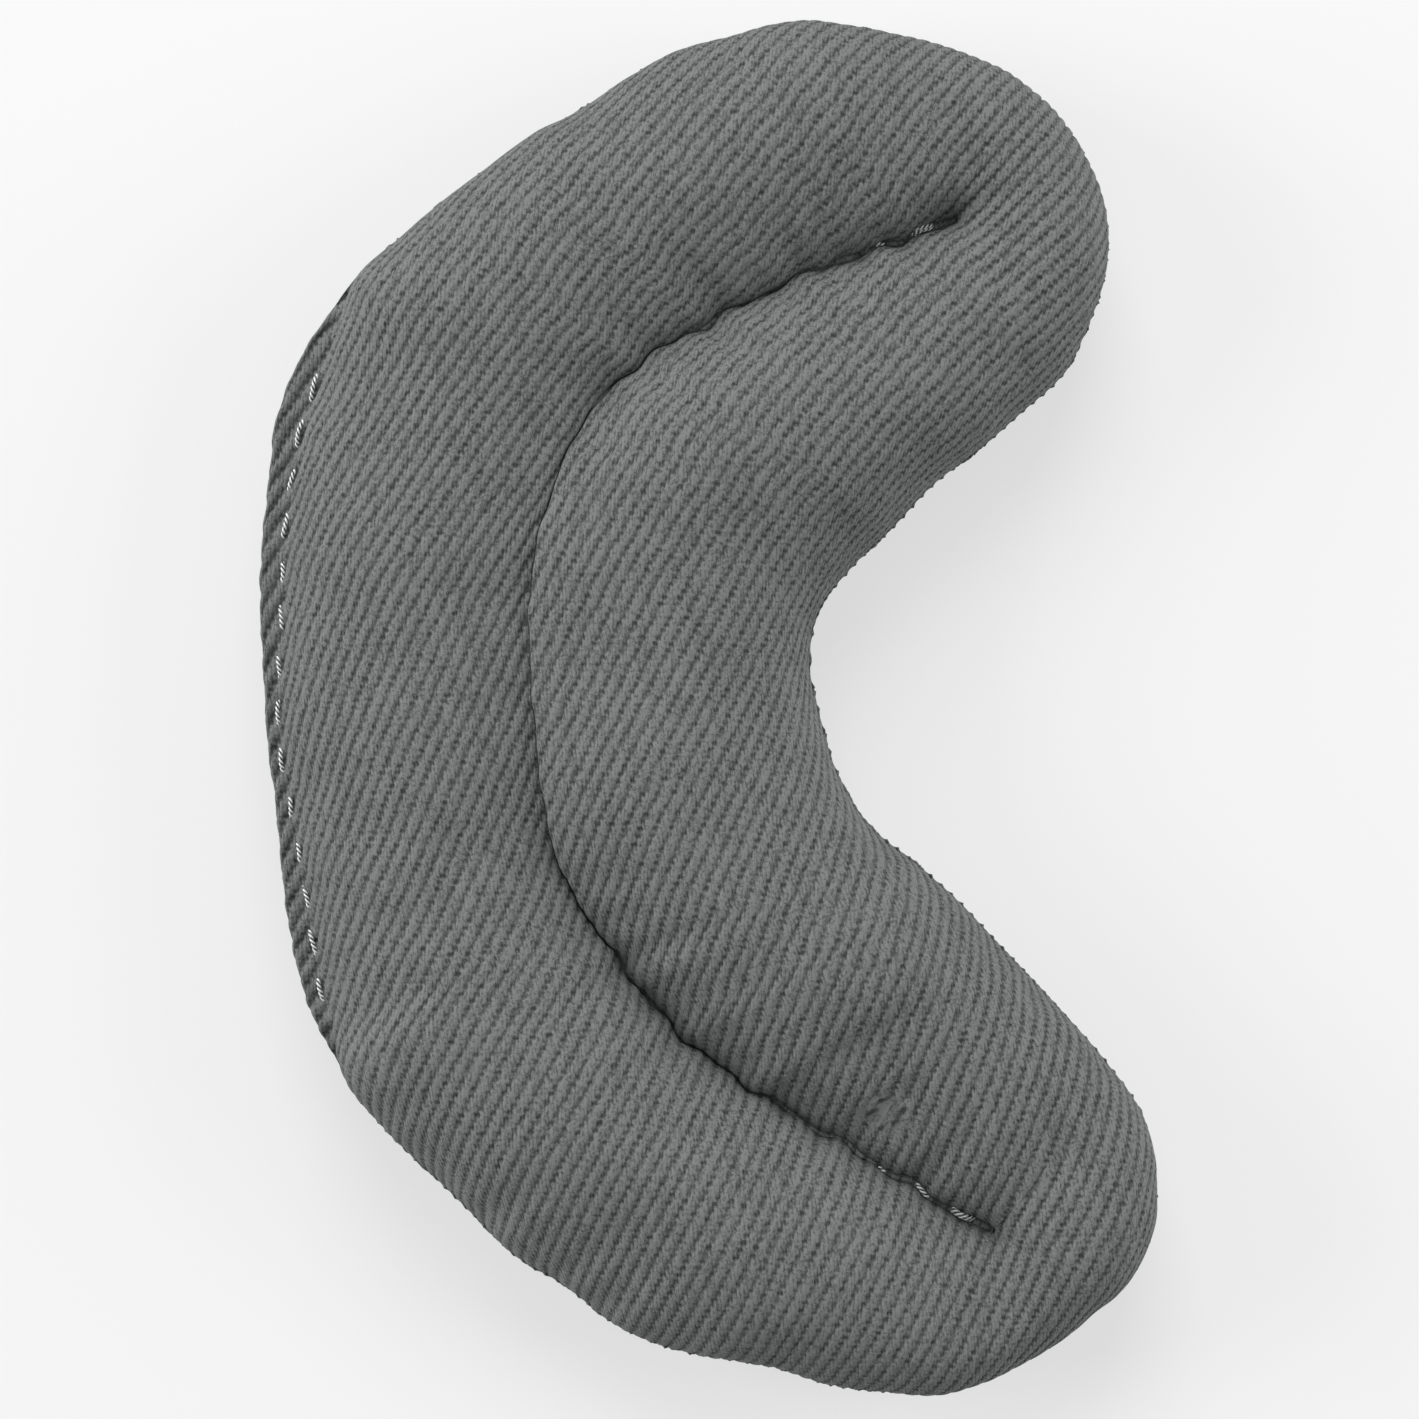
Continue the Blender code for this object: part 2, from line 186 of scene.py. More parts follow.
class Line:
    """Smooth line through points, read by its length."""

    def __init__(self, points, closed):
        p = np.array(points, float)
        count = len(p)
        spans = np.arange(count if closed else count - 1)

        def near(step):
            return p[(spans + step) % count] if closed else p[np.clip(spans + step, 0, count - 1)]

        w = cubic((np.arange(SPAN_STEPS) / SPAN_STEPS)[:, None, None])
        run = sum(w[..., k] * near(k - 1) for k in range(4)).transpose(1, 0, 2)
        self.samples = np.vstack([run.reshape(-1, 2), p[:1] if closed else p[-1:]])
        steps = np.linalg.norm(np.diff(self.samples, axis=0), axis=1)
        self.lengths = np.concatenate([[0.0], np.cumsum(steps)])
        self.total = self.lengths[-1]
        self.closed = closed

    def at(self, length):
        length = np.asarray(length, float)
        length = length % self.total if self.closed else np.clip(length, 0.0, self.total)
        return np.stack([np.interp(length, self.lengths, self.samples[:, k]) for k in (0, 1)], -1)

    def out(self, length):
        """Unit normal on the right-hand side of the direction of travel."""
        along = self.at(np.asarray(length) + 0.4) - self.at(np.asarray(length) - 0.4)
        return unit(np.stack([along[..., 1], -along[..., 0]], -1))

    def nearest(self, place):
        return self.lengths[np.argmin(np.linalg.norm(self.samples - np.array(place), axis=1))]


def smooth_step(value):
    value = np.clip(value, 0.0, 1.0)
    return value * value * (3.0 - 2.0 * value)


def unit(vectors):
    return vectors / np.maximum(np.linalg.norm(vectors, axis=-1, keepdims=True), 1e-9)


def read(table, places):
    """Value at each place from a table of (place, value)."""
    return np.interp(places, *np.array(table, float).T)


def soften(values, width):
    """Blurs values round the closed ring of columns by a Gaussian, width in columns."""
    values = np.asarray(values, float)
    shift = np.arange(len(values))
    shift = np.minimum(shift, len(values) - shift)
    kernel = np.exp(-0.5 * (shift / width) ** 2)
    kernel /= kernel.sum()
    spread = np.fft.rfft(kernel)
    if values.ndim > 1:
        spread = spread[:, None]
    return np.fft.irfft(np.fft.rfft(values, axis=0) * spread, n=len(values), axis=0)


edge_line = Line(BODY_EDGE, closed=True)
quilt_line = Line(QUILT_LINE, closed=False)
COLUMNS = 2 * (SIDE_COLUMNS + END_COLUMNS)

# Foot of each column beside the quilt seam, and how far along the seam it stands
down = np.arange(SIDE_COLUMNS) / SIDE_COLUMNS * quilt_line.total
up = quilt_line.total - down
turn = np.arange(END_COLUMNS) / END_COLUMNS * math.pi
seam_place = np.concatenate([down, np.full(END_COLUMNS, quilt_line.total), up,
                             np.zeros(END_COLUMNS)])
from_end = np.minimum(seam_place, quilt_line.total - seam_place)
opening = np.zeros(COLUMNS)
for spot, reach, much in OPEN_PLACES:
    opening = np.maximum(opening, much * np.exp(-((seam_place - spot) / reach) ** 2))
gap = FOOT_GAP + (OPEN_GAP - FOOT_GAP) * opening
meeting = soften(read(MEETING, seam_place), 14.0)
arms = 1.0 - smooth_step((meeting - 0.3) / 0.3)
# The stitches pull the crease down, each by its own amount, and a little to either side
draw = np.random.RandomState(7)
strengths = draw.uniform(0.25, 1.0, 40)
strength = np.interp(seam_place / STITCH, np.arange(40), strengths)
pull = (0.5 + 0.5 * np.cos(2 * math.pi * (seam_place - 1.0) / STITCH)) * strength
sway = 0.20 * np.sin(seam_place * 0.93 + 0.7) + 0.15 * np.sin(seam_place * 1.71 + 2.1)
sway *= smooth_step(from_end / 4.0) * (0.3 + 0.7 * arms)


def arc_round(length, side):
    """Unit vectors that turn anticlockwise round one end of the quilt seam."""
    x, y = quilt_line.out(length) * side
    return np.stack([x * np.cos(turn) - y * np.sin(turn), x * np.sin(turn) + y * np.cos(turn)], -1)


foot_out = np.concatenate([quilt_line.out(down), arc_round(quilt_line.total, 1.0),
                           -quilt_line.out(up), arc_round(0.0, -1.0)])
foot = (quilt_line.at(seam_place) + foot_out * gap[:, None]
        + quilt_line.out(seam_place) * sway[:, None])

# Edge end of each column, evenly spaced between the four marks, then evened out
marks = [edge_line.nearest(p) for p in (UPPER_OUTER, LOWER_OUTER, LOWER_INNER, UPPER_INNER)]
edge_place = []
for k, count in enumerate((SIDE_COLUMNS, END_COLUMNS, SIDE_COLUMNS, END_COLUMNS)):
    reach = (marks[(k + 1) % 4] - marks[k]) % edge_line.total
    edge_place.append(marks[k] + reach * np.arange(count) / count)
edge_place = np.concatenate(edge_place)
unrolled = np.unwrap(edge_place / edge_line.total * 2 * math.pi) / (2 * math.pi) * edge_line.total
even = np.arange(COLUMNS) / COLUMNS * edge_line.total
edge_place = soften(unrolled - even, 30.0) + even
edge = edge_line.at(edge_place)
edge_out = unit(soften(edge_line.out(edge_place), 4.0))

# Which side each column lies on: 1 on the outer channel, 0 on the inner one
outer_side = np.zeros(COLUMNS)
outer_side[:SIDE_COLUMNS] = 1.0
outer_side = soften(outer_side, 60.0)
width = np.linalg.norm(edge - foot, axis=1)
lobe = np.zeros(COLUMNS)
lobe[SIDE_COLUMNS:SIDE_COLUMNS + END_COLUMNS] = np.sin(turn)
lobe[-END_COLUMNS:] = np.sin(turn)
lobe = soften(lobe, 24.0)

# The lip runs along the straight outer edge, where the pad was closed after stuffing
# Width of the lip at each height along the pad, in mm
LIP_WIDTHS = [
    (-32.5, 0.0), (-30.0, 0.5), (-26.8, 1.35), (-22.3, 1.95), (-16.8, 2.05), (-11.5, 1.65),
    (-7.1, 1.35), (-3.2, 1.2), (2.5, 1.45), (9.6, 2.1), (14.0, 1.95), (17.5, 2.0), (21.0, 2.25),
    (24.5, 2.5), (27.5, 2.5), (30.5, 2.1), (34.2, 0.9), (37.4, 0.4), (41.0, 0.0),
]
lip_width = read(LIP_WIDTHS, edge[:, 1]) * (edge[:, 0] < 0.0)
lip_width = soften(lip_width, 5.0)
lip_wave = 0.05 * np.sin(edge_place * 1.53 + 1.0) + 0.03 * np.sin(edge_place * 2.7 + 0.4)
lip = smooth_step(lip_width / 1.4)
lip_width = lip_width + lip_wave * lip

# ----------
# Covers: two panels of heavy grey twill, sewn together face to face and turned,
# stuffed, closed by the lip and quilted through along the curved seam.
CLOTH = 0.8  # thickness of the twill
FULLNESS = 0.76  # crest height over half the channel's width
LOBE_LIFT = 0.38  # extra fullness round the ends of the quilt seam
SEAM_FLOOR = 1.9  # height of the gathered cloth on which the quilt seam lies
VALLEY = 1.15  # height of the valley in which the closing stitches lie
LIP_RISE = 0.48  # how much the folded allowances stand up past the closing stitches
CREASE_DEPTH = 0.45  # how far the closed crease goes down below where its sides touch
FLOOR_DEPTH = 7.72  # how far below the seam plane the back is pressed flat
ARCH_RINGS = 144  # rings of points across a channel
WALL_RINGS = 14  # how many of them go down the closed crease
RIM_RINGS = 16  # rings over the edge
FOLD_RINGS = 8  # rings round the turned-in allowance
LINING_RINGS = 14  # rings across the inside of the cloth
ALLOWANCE = 5.0  # width of the turned-in allowance
FOLD_GAP = 0.03  # half the gap between the folds of the two panels
LIP_SHARE = 0.62  # share of the rim's rings on top of the lip; the rest turn under
LIP_BULGE = 0.25  # how far the lip's fold bulges past its width
TURN_IN = 0.42  # how far a plain seam draws in the edge
RETURN = 1.3  # how far inside the edge the allowance meets the lining
PRESS = 1.6  # how softly the back flattens where it rests
EASE = 12.0  # how gradually the section changes along the arms, in columns
LOWER_ARM = -16.0  # height along the pad below which the lower arm begins
VALLEY_RINGS = 4.5  # how widely the stitches' valley is rounded, in rings


def shell(name, points, faces):
    """Mesh of points in metres and four-sided faces."""
    mesh = bpy.data.meshes.new(name)
    mesh.from_pydata(points.reshape(-1, 3).tolist(), [], faces.reshape(-1, 4).tolist())
    mesh.update()
    return mesh


def put(name, data):
    """New object in the scene, the only one selected."""
    piece = bpy.data.objects.new(name, data)
    bpy.context.scene.collection.objects.link(piece)
    bpy.ops.object.select_all(action="DESELECT")
    piece.select_set(True)
    bpy.context.view_layer.objects.active = piece
    return piece


def resample(x, z, rings):
    """Even steps along each column's section. x and z are one row for each column."""
    steps = np.hypot(np.diff(x, axis=1), np.diff(z, axis=1))
    lengths = np.concatenate([np.zeros((len(x), 1)), np.cumsum(steps, axis=1)], axis=1)
    lengths /= lengths[:, -1:]
    want = np.linspace(0.0, 1.0, rings)
    out_x = np.array([np.interp(want, row, line) for row, line in zip(lengths, x)])
    out_z = np.array([np.interp(want, row, line) for row, line in zip(lengths, z)])
    return out_x, out_z


floor_high = np.maximum(SEAM_FLOOR, CLOTH + 8.0 * meeting - CREASE_DEPTH)


def arch(side):
    """Section of each channel from the crease to the edge, as (out, height) in mm."""
    a = np.linspace(0.0, math.pi, 361)[None, :]
    s = (1.0 - np.cos(a)) / 2.0
    crest = soften(FULLNESS * width / 2.0 * (1.0 + LOBE_LIFT * lobe), EASE)[:, None]
    # The crest lies near the middle.  On the lower arm the outer channel leans outwards and
    # the inner one inwards, and every stitch pulls down the place where the two touch.
    lower_arm = smooth_step((LOWER_ARM - foot[:, 1]) / 10.0)
    peak = 0.50 - 0.02 * outer_side + lower_arm * (0.10 - 0.18 * outer_side)
    peak = soften(peak, EASE)[:, None]
    meet = meeting * (1.0 - 0.45 * opening) * (1.0 - 0.14 * pull * arms)
    touch = np.sqrt(1.0 - meet ** 2)[:, None]
    end = (VALLEY * lip)[:, None]
    blunt = (2.1 - 0.65 * lip - 0.25 * lower_arm * outer_side)[:, None]
    inside = np.clip(1.0 - s / peak, 0.0, 1.0) * touch
    outside = np.clip((s - peak) / (1.0 - peak), 0.0, 1.0)
    rise = CLOTH + (crest - CLOTH) * np.sqrt(1.0 - inside ** 2)
    fall = end + (crest - end) * (1.0 - outside ** blunt) ** (1.0 / blunt)
    z = np.where(s < peak, rise, fall)
    x = s * width[:, None]
    if side < 0:
        pressed = FLOOR_DEPTH - z
        z = FLOOR_DEPTH - np.where(pressed > PRESS, pressed,
                                   PRESS * np.exp(np.minimum(pressed / PRESS - 1.0, 0.0)))
        z = np.minimum(z, FLOOR_DEPTH - 0.02)
    x, z = resample(x, z, ARCH_RINGS - WALL_RINGS)
    share = np.arange(WALL_RINGS) / WALL_RINGS
    wall = floor_high[:, None] + (z[:, :1] - floor_high[:, None]) * share
    return np.hstack([0.0 * wall, x]), np.hstack([wall, z])


def rim():
    """Sections past the stitches: over the edge, in along the allowance and back."""
    w = width[:, None]
    lw = lip_width[:, None]
    on_lip = lip[:, None]
    t = np.linspace(0.0, 1.0, RIM_RINGS + 1)[None, 1:]
    over = np.clip(t / LIP_SHARE, 0.0, 1.0)
    under = np.clip((t - LIP_SHARE) / (1.0 - LIP_SHARE), 0.0, 1.0)
    pinch = 0.75 + 0.25 * np.cos(2 * math.pi * (edge_place[:, None] + 0.9) / STITCH)
    lip_z = VALLEY + LIP_RISE * pinch * np.sin(over * math.pi * LIP_SHARE) ** 0.8
    x = (w + lw * over + on_lip * LIP_BULGE * np.sin(under * math.pi)
         - (1.0 - on_lip) * TURN_IN * smooth_step(t))
    z = FOLD_GAP + lip_z * (1 - smooth_step(under)) * on_lip
    t = np.linspace(0.0, 1.0, FOLD_RINGS + 1)[None, 1:]
    start = x[:, -1:]
    raw_edge = w - ALLOWANCE
    back = w - RETURN
    fold_x = np.where(t <= 0.5, start + (raw_edge - start) * t * 2, raw_edge + (back - raw_edge)
                      * np.clip(t - 0.625, 0, 1) / 0.375)
    fold_z = np.where(t <= 0.5, FOLD_GAP, CLOTH) + 0.0 * w
    return np.hstack([x, fold_x]), np.hstack([z, fold_z])


def moved_in(x, z, picks, depth):
    """Picked rings of each section, moved in by a depth."""
    dx = np.gradient(x, axis=1)[:, picks]
    dz = np.gradient(z, axis=1)[:, picks]
    size = np.maximum(np.hypot(dx, dz), 1e-9)
    return x[:, picks] + depth * dz / size, z[:, picks] - depth * dx / size


def lining(x, z):
    """Inner face of the cloth: the arch moved in by its thickness, from edge to crease."""
    picks = np.linspace(ARCH_RINGS - 6, 1, LINING_RINGS).astype(int)
    in_x, in_z = moved_in(x, z, picks, CLOTH)
    return np.clip(in_x, CLOTH, width[:, None] - CLOTH), np.maximum(in_z, 0.04)


across = (edge - foot) / width[:, None]


def place(out, height, side):
    """Points in space for sections given by column."""
    past = np.maximum(out - width[:, None], 0.0)
    xy = (foot[:, None, :] + across[:, None, :] * (out - past)[:, :, None]
          + edge_out[:, None, :] * past[:, :, None])
    return np.concatenate([xy, (SEAM_Z + side * height)[:, :, None]], axis=2)


def round_valley(high):
    """Rounds the corner where the body runs into the lip."""
    rings = np.arange(ARCH_RINGS - 24, ARCH_RINGS + 10)
    kernel = np.exp(-0.5 * (np.arange(-14, 15) / VALLEY_RINGS) ** 2)
    kernel /= kernel.sum()
    padded = np.pad(high, ((0, 0), (14, 14)), mode="edge")
    blurred = sum(weight * padded[:, rings + k] for k, weight in enumerate(kernel))
    part = smooth_step((rings - rings[0]) / 14.0) * smooth_step((rings[-1] - rings) / 8.0)
    part = part[None, :] * lip[:, None]
    high = high.copy()
    high[:, rings] += (blurred - high[:, rings]) * part
    return high


arch_x, arch_z = arch(1)
rim_x, rim_z = rim()
front_out = np.hstack([arch_x, rim_x])
front_high = round_valley(np.hstack([arch_z, rim_z]))
back_x, back_z = arch(-1)
back_out = np.hstack([back_x, rim_x])
back_high = round_valley(np.hstack([back_z, rim_z]))
FRONT_FACE = ARCH_RINGS + RIM_RINGS  # rings that carry the visible weave
front_points = place(front_out, front_high, 1)
back_points = place(back_out, back_high, -1)


def finer(values, columns, ring_places, rings):
    """Smoothly fills in a coarse ring-by-ring grid, cubic both ways."""
    count = values.shape[0]
    where = np.arange(columns) * count / columns
    low = np.floor(where).astype(int)
    w = cubic(where - low)
    rows = sum(w[:, k, None, None] * values[(low + k - 1) % count] for k in range(4))
    where = np.interp(np.arange(rings), ring_places, np.arange(len(ring_places)))
    low = np.clip(np.floor(where).astype(int), 0, len(ring_places) - 2)
    w = cubic(where - low)
    last = len(ring_places) - 1
    return sum(w[None, :, k, None] * rows[:, np.clip(low + k - 1, 0, last)] for k in range(4))


# The cloth is then blown out by the stuffing: both panels, coarsely meshed and joined
# as one tube, are held along their seams and pressed outwards by the cloth solver.
SIM_COLUMNS = 320  # columns and rings of the coarse mesh
SIM_RINGS = np.append([0, 7], np.linspace(WALL_RINGS, ARCH_RINGS - 1, 22).round().astype(int))
SIM_SCALE = 8.0  # the solver works best on things about a metre long
SIM_FRAMES = 20
SIM_CAP = 0.7  # furthest that the cloth may move, in mm
# The panels are cut a little fuller than the seams that gather them, so they grow
CLOTH_SETTINGS = {
    "quality": 6, "mass": 0.3, "tension_stiffness": 25.0, "compression_stiffness": 25.0,
    "shear_stiffness": 10.0, "bending_stiffness": 0.6, "shrink_min": -0.012,
    "use_pressure": True, "uniform_pressure_force": 4.0,
}


def tube_faces(count, rings):
    """Faces of a tube of points that closes both ways, by the numbers of their corners."""
    index = np.arange(count * rings).reshape(count, rings)
    beside = np.roll(index, -1, axis=0)
    return np.stack([index, np.roll(index, -1, axis=1), np.roll(beside, -1, axis=1), beside], -1)


def settle(front, back):
    """Moves, in mm, of every point of the two arches when the stuffing presses out."""
    step = COLUMNS // SIM_COLUMNS
    top = front[::step][:, SIM_RINGS]
    low = back[::step][:, SIM_RINGS[-2::-1]]
    tube = np.concatenate([top, low], axis=1)
    count, rings = tube.shape[:2]
    start = tube.reshape(-1, 3) * MM * SIM_SCALE
    mesh = shell("stuffed_cloth", start, tube_faces(count, rings))
    cloth = put("stuffed_cloth", mesh)
    sewn = np.zeros((count, rings))
    sewn[:, [0, len(SIM_RINGS) - 1, rings - 1]] = 1.0
    beside_seam = np.linalg.norm((tube - tube[:, :1])[..., :2], axis=2) < 0.45
    sewn[beside_seam] = 1.0
    sewn[tube[..., 2] < 0.12] = 1.0
    group = cloth.vertex_groups.new(name="sewn_or_resting")
    group.add(np.nonzero(sewn.reshape(-1) > 0.5)[0].tolist(), 1.0, "REPLACE")
    modifier = cloth.modifiers.new("cloth", "CLOTH")
    for setting, value in CLOTH_SETTINGS.items():
        setattr(modifier.settings, setting, value)
    modifier.settings.vertex_group_mass = group.name
    modifier.settings.effector_weights.gravity = 0.0
    scene = bpy.context.scene
    modifier.point_cache.frame_start = 1
    modifier.point_cache.frame_end = SIM_FRAMES
    for number in range(1, SIM_FRAMES + 1):
        scene.frame_set(number)
    bpy.ops.object.modifier_apply(modifier=modifier.name)
    after = np.zeros(count * rings * 3)
    cloth.data.vertices.foreach_get("co", after)
    scene.frame_set(1)
    bpy.data.objects.remove(cloth)
    bpy.data.meshes.remove(mesh)
    move = (after.reshape(-1, 3) - start) / (MM * SIM_SCALE)
    size = np.linalg.norm(move, axis=1, keepdims=True)
    move *= SIM_CAP * np.tanh(size / SIM_CAP) / np.maximum(size, 1e-9)
    move = move.reshape(count, rings, 3)
    around = np.roll(tube, -1, axis=0) - np.roll(tube, 1, axis=0)
    over = np.roll(tube, -1, axis=1) - np.roll(tube, 1, axis=1)
    normal = unit(np.cross(over, around))
    swell = (move * normal).sum(2)
    for _ in range(2):
        swell = 0.5 * swell + 0.25 * (np.roll(swell, 1, axis=0) + np.roll(swell, -1, axis=0))
        inner = 0.5 * swell[:, 1:-1] + 0.25 * (swell[:, 2:] + swell[:, :-2])
        swell[:, 1:-1] = np.where(sewn[:, 1:-1] > 0.5, swell[:, 1:-1], inner)
    move = normal * swell[:, :, None]
    half = len(SIM_RINGS)
    top_move = finer(move[:, :half], COLUMNS, SIM_RINGS, ARCH_RINGS)
    low_move = finer(move[:, half - 1:][:, ::-1], COLUMNS, SIM_RINGS, ARCH_RINGS)
    return top_move, low_move


def keep_apart(points, side):
    """Neither channel may pass the seam's plane or the table."""
    rel = points[..., :2] - foot[:, None, :]
    out = (rel * across[:, None, :]).sum(-1)
    short = np.clip(0.02 - out, 0.0, None)
    points = points.copy()
    points[..., :2] += short[..., None] * across[:, None, :]
    if side < 0:
        points[..., 2] = np.maximum(points[..., 2], 0.02)
    return points


# Dents and lumps of the loose fibre under the cloth: place, radius, depth in mm
DENTS = [
    ((2.1, 14.5), 2.4, 0.5), ((22.9, 28.3), 3.0, 0.2), ((18.1, 22.1), 3.0, 0.15),
    ((11.0, 15.2), 2.2, 0.3), ((-29.2, -18.5), 2.0, 0.35), ((-6.2, -46.8), 3.4, 0.5),
    ((-13.0, 30.0), 5.0, 0.4), ((24.0, 47.0), 4.0, 0.3), ((-24.0, 20.0), 6.0, 0.25),
    ((3.4, -25.4), 3.6, 0.45), ((10.2, -30.2), 3.4, 0.35), ((17.2, -35.4), 3.0, 0.25),
    ((1.8, 41.4), 3.4, 0.3), ((11.8, 45.4), 3.0, 0.25),
]
LUMPS = [(0.19, 0.11, 0.3), (-0.12, 0.23, 1.7), (0.31, -0.07, 2.9), (0.08, 0.37, 4.1),
         (0.42, 0.21, 5.3), (-0.33, 0.29, 0.9)]


def unevenness(points):
    """How far the stuffing lifts or sinks the cloth at each point, in mm."""
    x, y = points[..., 0], points[..., 1]
    lift = np.zeros_like(x)
    for a, b, phase in LUMPS:
        lift += 0.11 * np.sin(a * x + b * y + phase)
    for (cx, cy), radius, depth in DENTS:
        lift -= depth * np.exp(-((x - cx) ** 2 + (y - cy) ** 2) / (2 * radius ** 2))
    return lift


def puckers():
    """Small folds where the stitches gather the cloth, as (at the crease, at the edge)."""
    at_crease = -0.10 * pull * arms * (1.0 - lobe)
    x, y = edge[:, 0], edge[:, 1]
    low_left = np.exp(-((x + 14.0) / 14.0) ** 2) * (y < -35.0)
    low_right = np.exp(-((y + 27.0) / 9.0) ** 2) * (x > 15.0)
    wave = np.sin(edge_place * 0.95 + 0.6) + 0.6 * np.sin(edge_place * 1.47 + 2.0)
    at_edge = wave * (0.22 * soften(low_left, 12.0) + 0.14 * soften(low_right, 12.0) + 0.03)
    return at_crease, at_edge


def face_normals(points):
    """Unit normals of a ring-by-ring grid, on the side away from the pad's middle."""
    around = np.roll(points, -1, axis=0) - np.roll(points, 1, axis=0)
    return unit(np.cross(np.gradient(points, axis=1), around))


COARSE_COLUMNS = 100
COARSE_RINGS = [0, WALL_RINGS, 20, 28, 38, 50, 62, 74, 86, 98, 110, 120, 129, 137, 143, 148, 153,
                159]
WARP_PITCH = 0.344  # one warp end
WEFT_PITCH = 0.579  # one weft pick
FIRST_THREAD = 600.0  # keeps every thread's number above zero
# How far the cloth is turned anticlockwise at each height along the pad, in degrees: it was
# eased round both arms when it was sewn.
OUTER_TURNS = [
    (-55, 6), (-44, 6), (-34, 3), (-25, 1), (-20, 3), (-13, 7), (-3, 6), (4, 9), (11, 2), (16, -2),
    (24, -1), (32, -2), (39, -5), (46, -8),
]
INNER_TURNS = [
    (-55, 4), (-44, 3), (-37, 10), (-30, 9.5), (-18, 10), (-13, 8), (-6, 4), (6, 3.5), (11, 1),
    (16, -5), (21, -7), (27, -12), (36, -13), (44, -9),
]


def lay_flat(points, turns):
    """Where each point of the panel lay in the uncut cloth, in mm.  Every facet keeps its
    shape and lies as its threads do, and the facets are fitted together by least squares."""
    columns, rings = points.shape[:2]
    side_count = columns * SIDE_COLUMNS // COLUMNS
    end_count = columns * END_COLUMNS // COLUMNS
    owner = np.arange(columns * rings).reshape(columns, rings)
    for k in range(1, side_count):
        owner[(columns - end_count - k) % columns, 0] = owner[k, 0]
    owner[side_count:side_count + end_count + 1, 0] = owner[side_count, 0]
    owner[columns - end_count:, 0] = owner[0, 0]
    beside = np.roll(owner, -1, axis=0)
    quads = np.stack([owner[:, :-1], owner[:, 1:], beside[:, 1:], beside[:, :-1]], -1)
    tris = np.vstack([quads[..., [0, 1, 2]].reshape(-1, 3), quads[..., [0, 2, 3]].reshape(-1, 3)])
    tris = tris[(tris != np.roll(tris, 1, axis=1)).all(axis=1)]
    corners = points.reshape(-1, 3)[tris]
    normal = np.cross(corners[:, 1] - corners[:, 0], corners[:, 2] - corners[:, 0])
    area = np.linalg.norm(normal, axis=1)
    normal /= np.maximum(area, 1e-9)[:, None]
    # Each facet is tipped level, the short way, and turned back by the cloth's own turn.
    # Its sides are then complex numbers, across the cloth and up it.
    half = normal + np.array([0.0, 0.0, 1.0])
    half /= np.maximum(np.linalg.norm(half, axis=1), 0.2)[:, None]
    turn_back = np.exp(-1j * turns.reshape(-1)[tris].mean(1))
    used, index = np.unique(tris, return_inverse=True)
    index = index.reshape(tris.shape)
    laplace = np.zeros((len(used), len(used)))
    right = np.zeros(len(used), complex)
    for k in range(3):
        i, j = (k + 1) % 3, (k + 2) % 3
        u, v = corners[:, i] - corners[:, k], corners[:, j] - corners[:, k]
        weight = np.clip((u * v).sum(1) / np.maximum(area, 1e-9), 0.05, 8.0) * (area > 1e-6)
        e = corners[:, i] - corners[:, j]
        e = e - 2.0 * (e * normal).sum(1, keepdims=True) * normal
        e = e - 2.0 * (e * half).sum(1, keepdims=True) * half
        laid = -(e[:, 0] + 1j * e[:, 1]) * turn_back
        for a, b, sign in ((index[:, i], index[:, j], 1.0), (index[:, j], index[:, i], -1.0)):
            np.add.at(laplace, (a, b), -weight)
            np.add.at(laplace, (a, a), weight)
            np.add.at(right, a, sign * weight * laid)
    laplace[0, 0] += 1.0
    spot = np.zeros((columns * rings, 2))
    spot[used] = np.linalg.solve(laplace, np.column_stack([right.real, right.imag]))
    return spot[owner.reshape(-1)].reshape(columns, rings, 2)


def weave_of(points, side):
    """Thread counts (warp ends, weft picks) at each point of a panel's outer face."""
    step = COLUMNS // COARSE_COLUMNS
    coarse = points[::step][:, COARSE_RINGS]
    outer = outer_side[::step, None]
    turns = (outer * read(OUTER_TURNS, coarse[..., 1])
             + (1.0 - outer) * read(INNER_TURNS, coarse[..., 1]))
    flat = lay_flat(coarse, np.radians(turns))
    fine = finer(flat, COLUMNS, COARSE_RINGS, FRONT_FACE)
    return fine * np.array([side / WARP_PITCH, 1.0 / WEFT_PITCH]) + FIRST_THREAD


ROPE = 0.15  # height of the diagonal ropes that the floats make
PIT = 0.05  # depth of the pits between them
PIT_REACH = 0.22  # how wide each pit is
EDGE_RELIEF = 0.7  # how much more the ropes stand out where the cloth turns over the edge
REPEAT = 4.0  # ends and picks in one repeat of the weave
HOLE_ASIDE = 0.12  # how far each hole of a pit lies from the pit's middle


def weave_height(threads):
    """Height of the twill's ropes and pits at each point, in mm."""
    u, v = threads[..., 0], threads[..., 1]
    rope = (v - u) / REPEAT
    beside = np.abs(rope - np.floor(rope) - 0.5)
    ridge = np.sqrt(np.clip(1.0 - (2.0 * beside) ** 2.2, 0.0, 1.0))
    pick = np.floor(v)
    dx = (u - 0.5 - pick) / REPEAT
    dx = np.abs(dx - np.round(dx)) * REPEAT * WARP_PITCH
    dy = (v - pick - 0.5) * WEFT_PITCH
    pit = np.exp(-((dx - HOLE_ASIDE) / PIT_REACH) ** 2 - (dy / PIT_REACH) ** 2)
    return ROPE * (ridge - 1.0) - PIT * pit


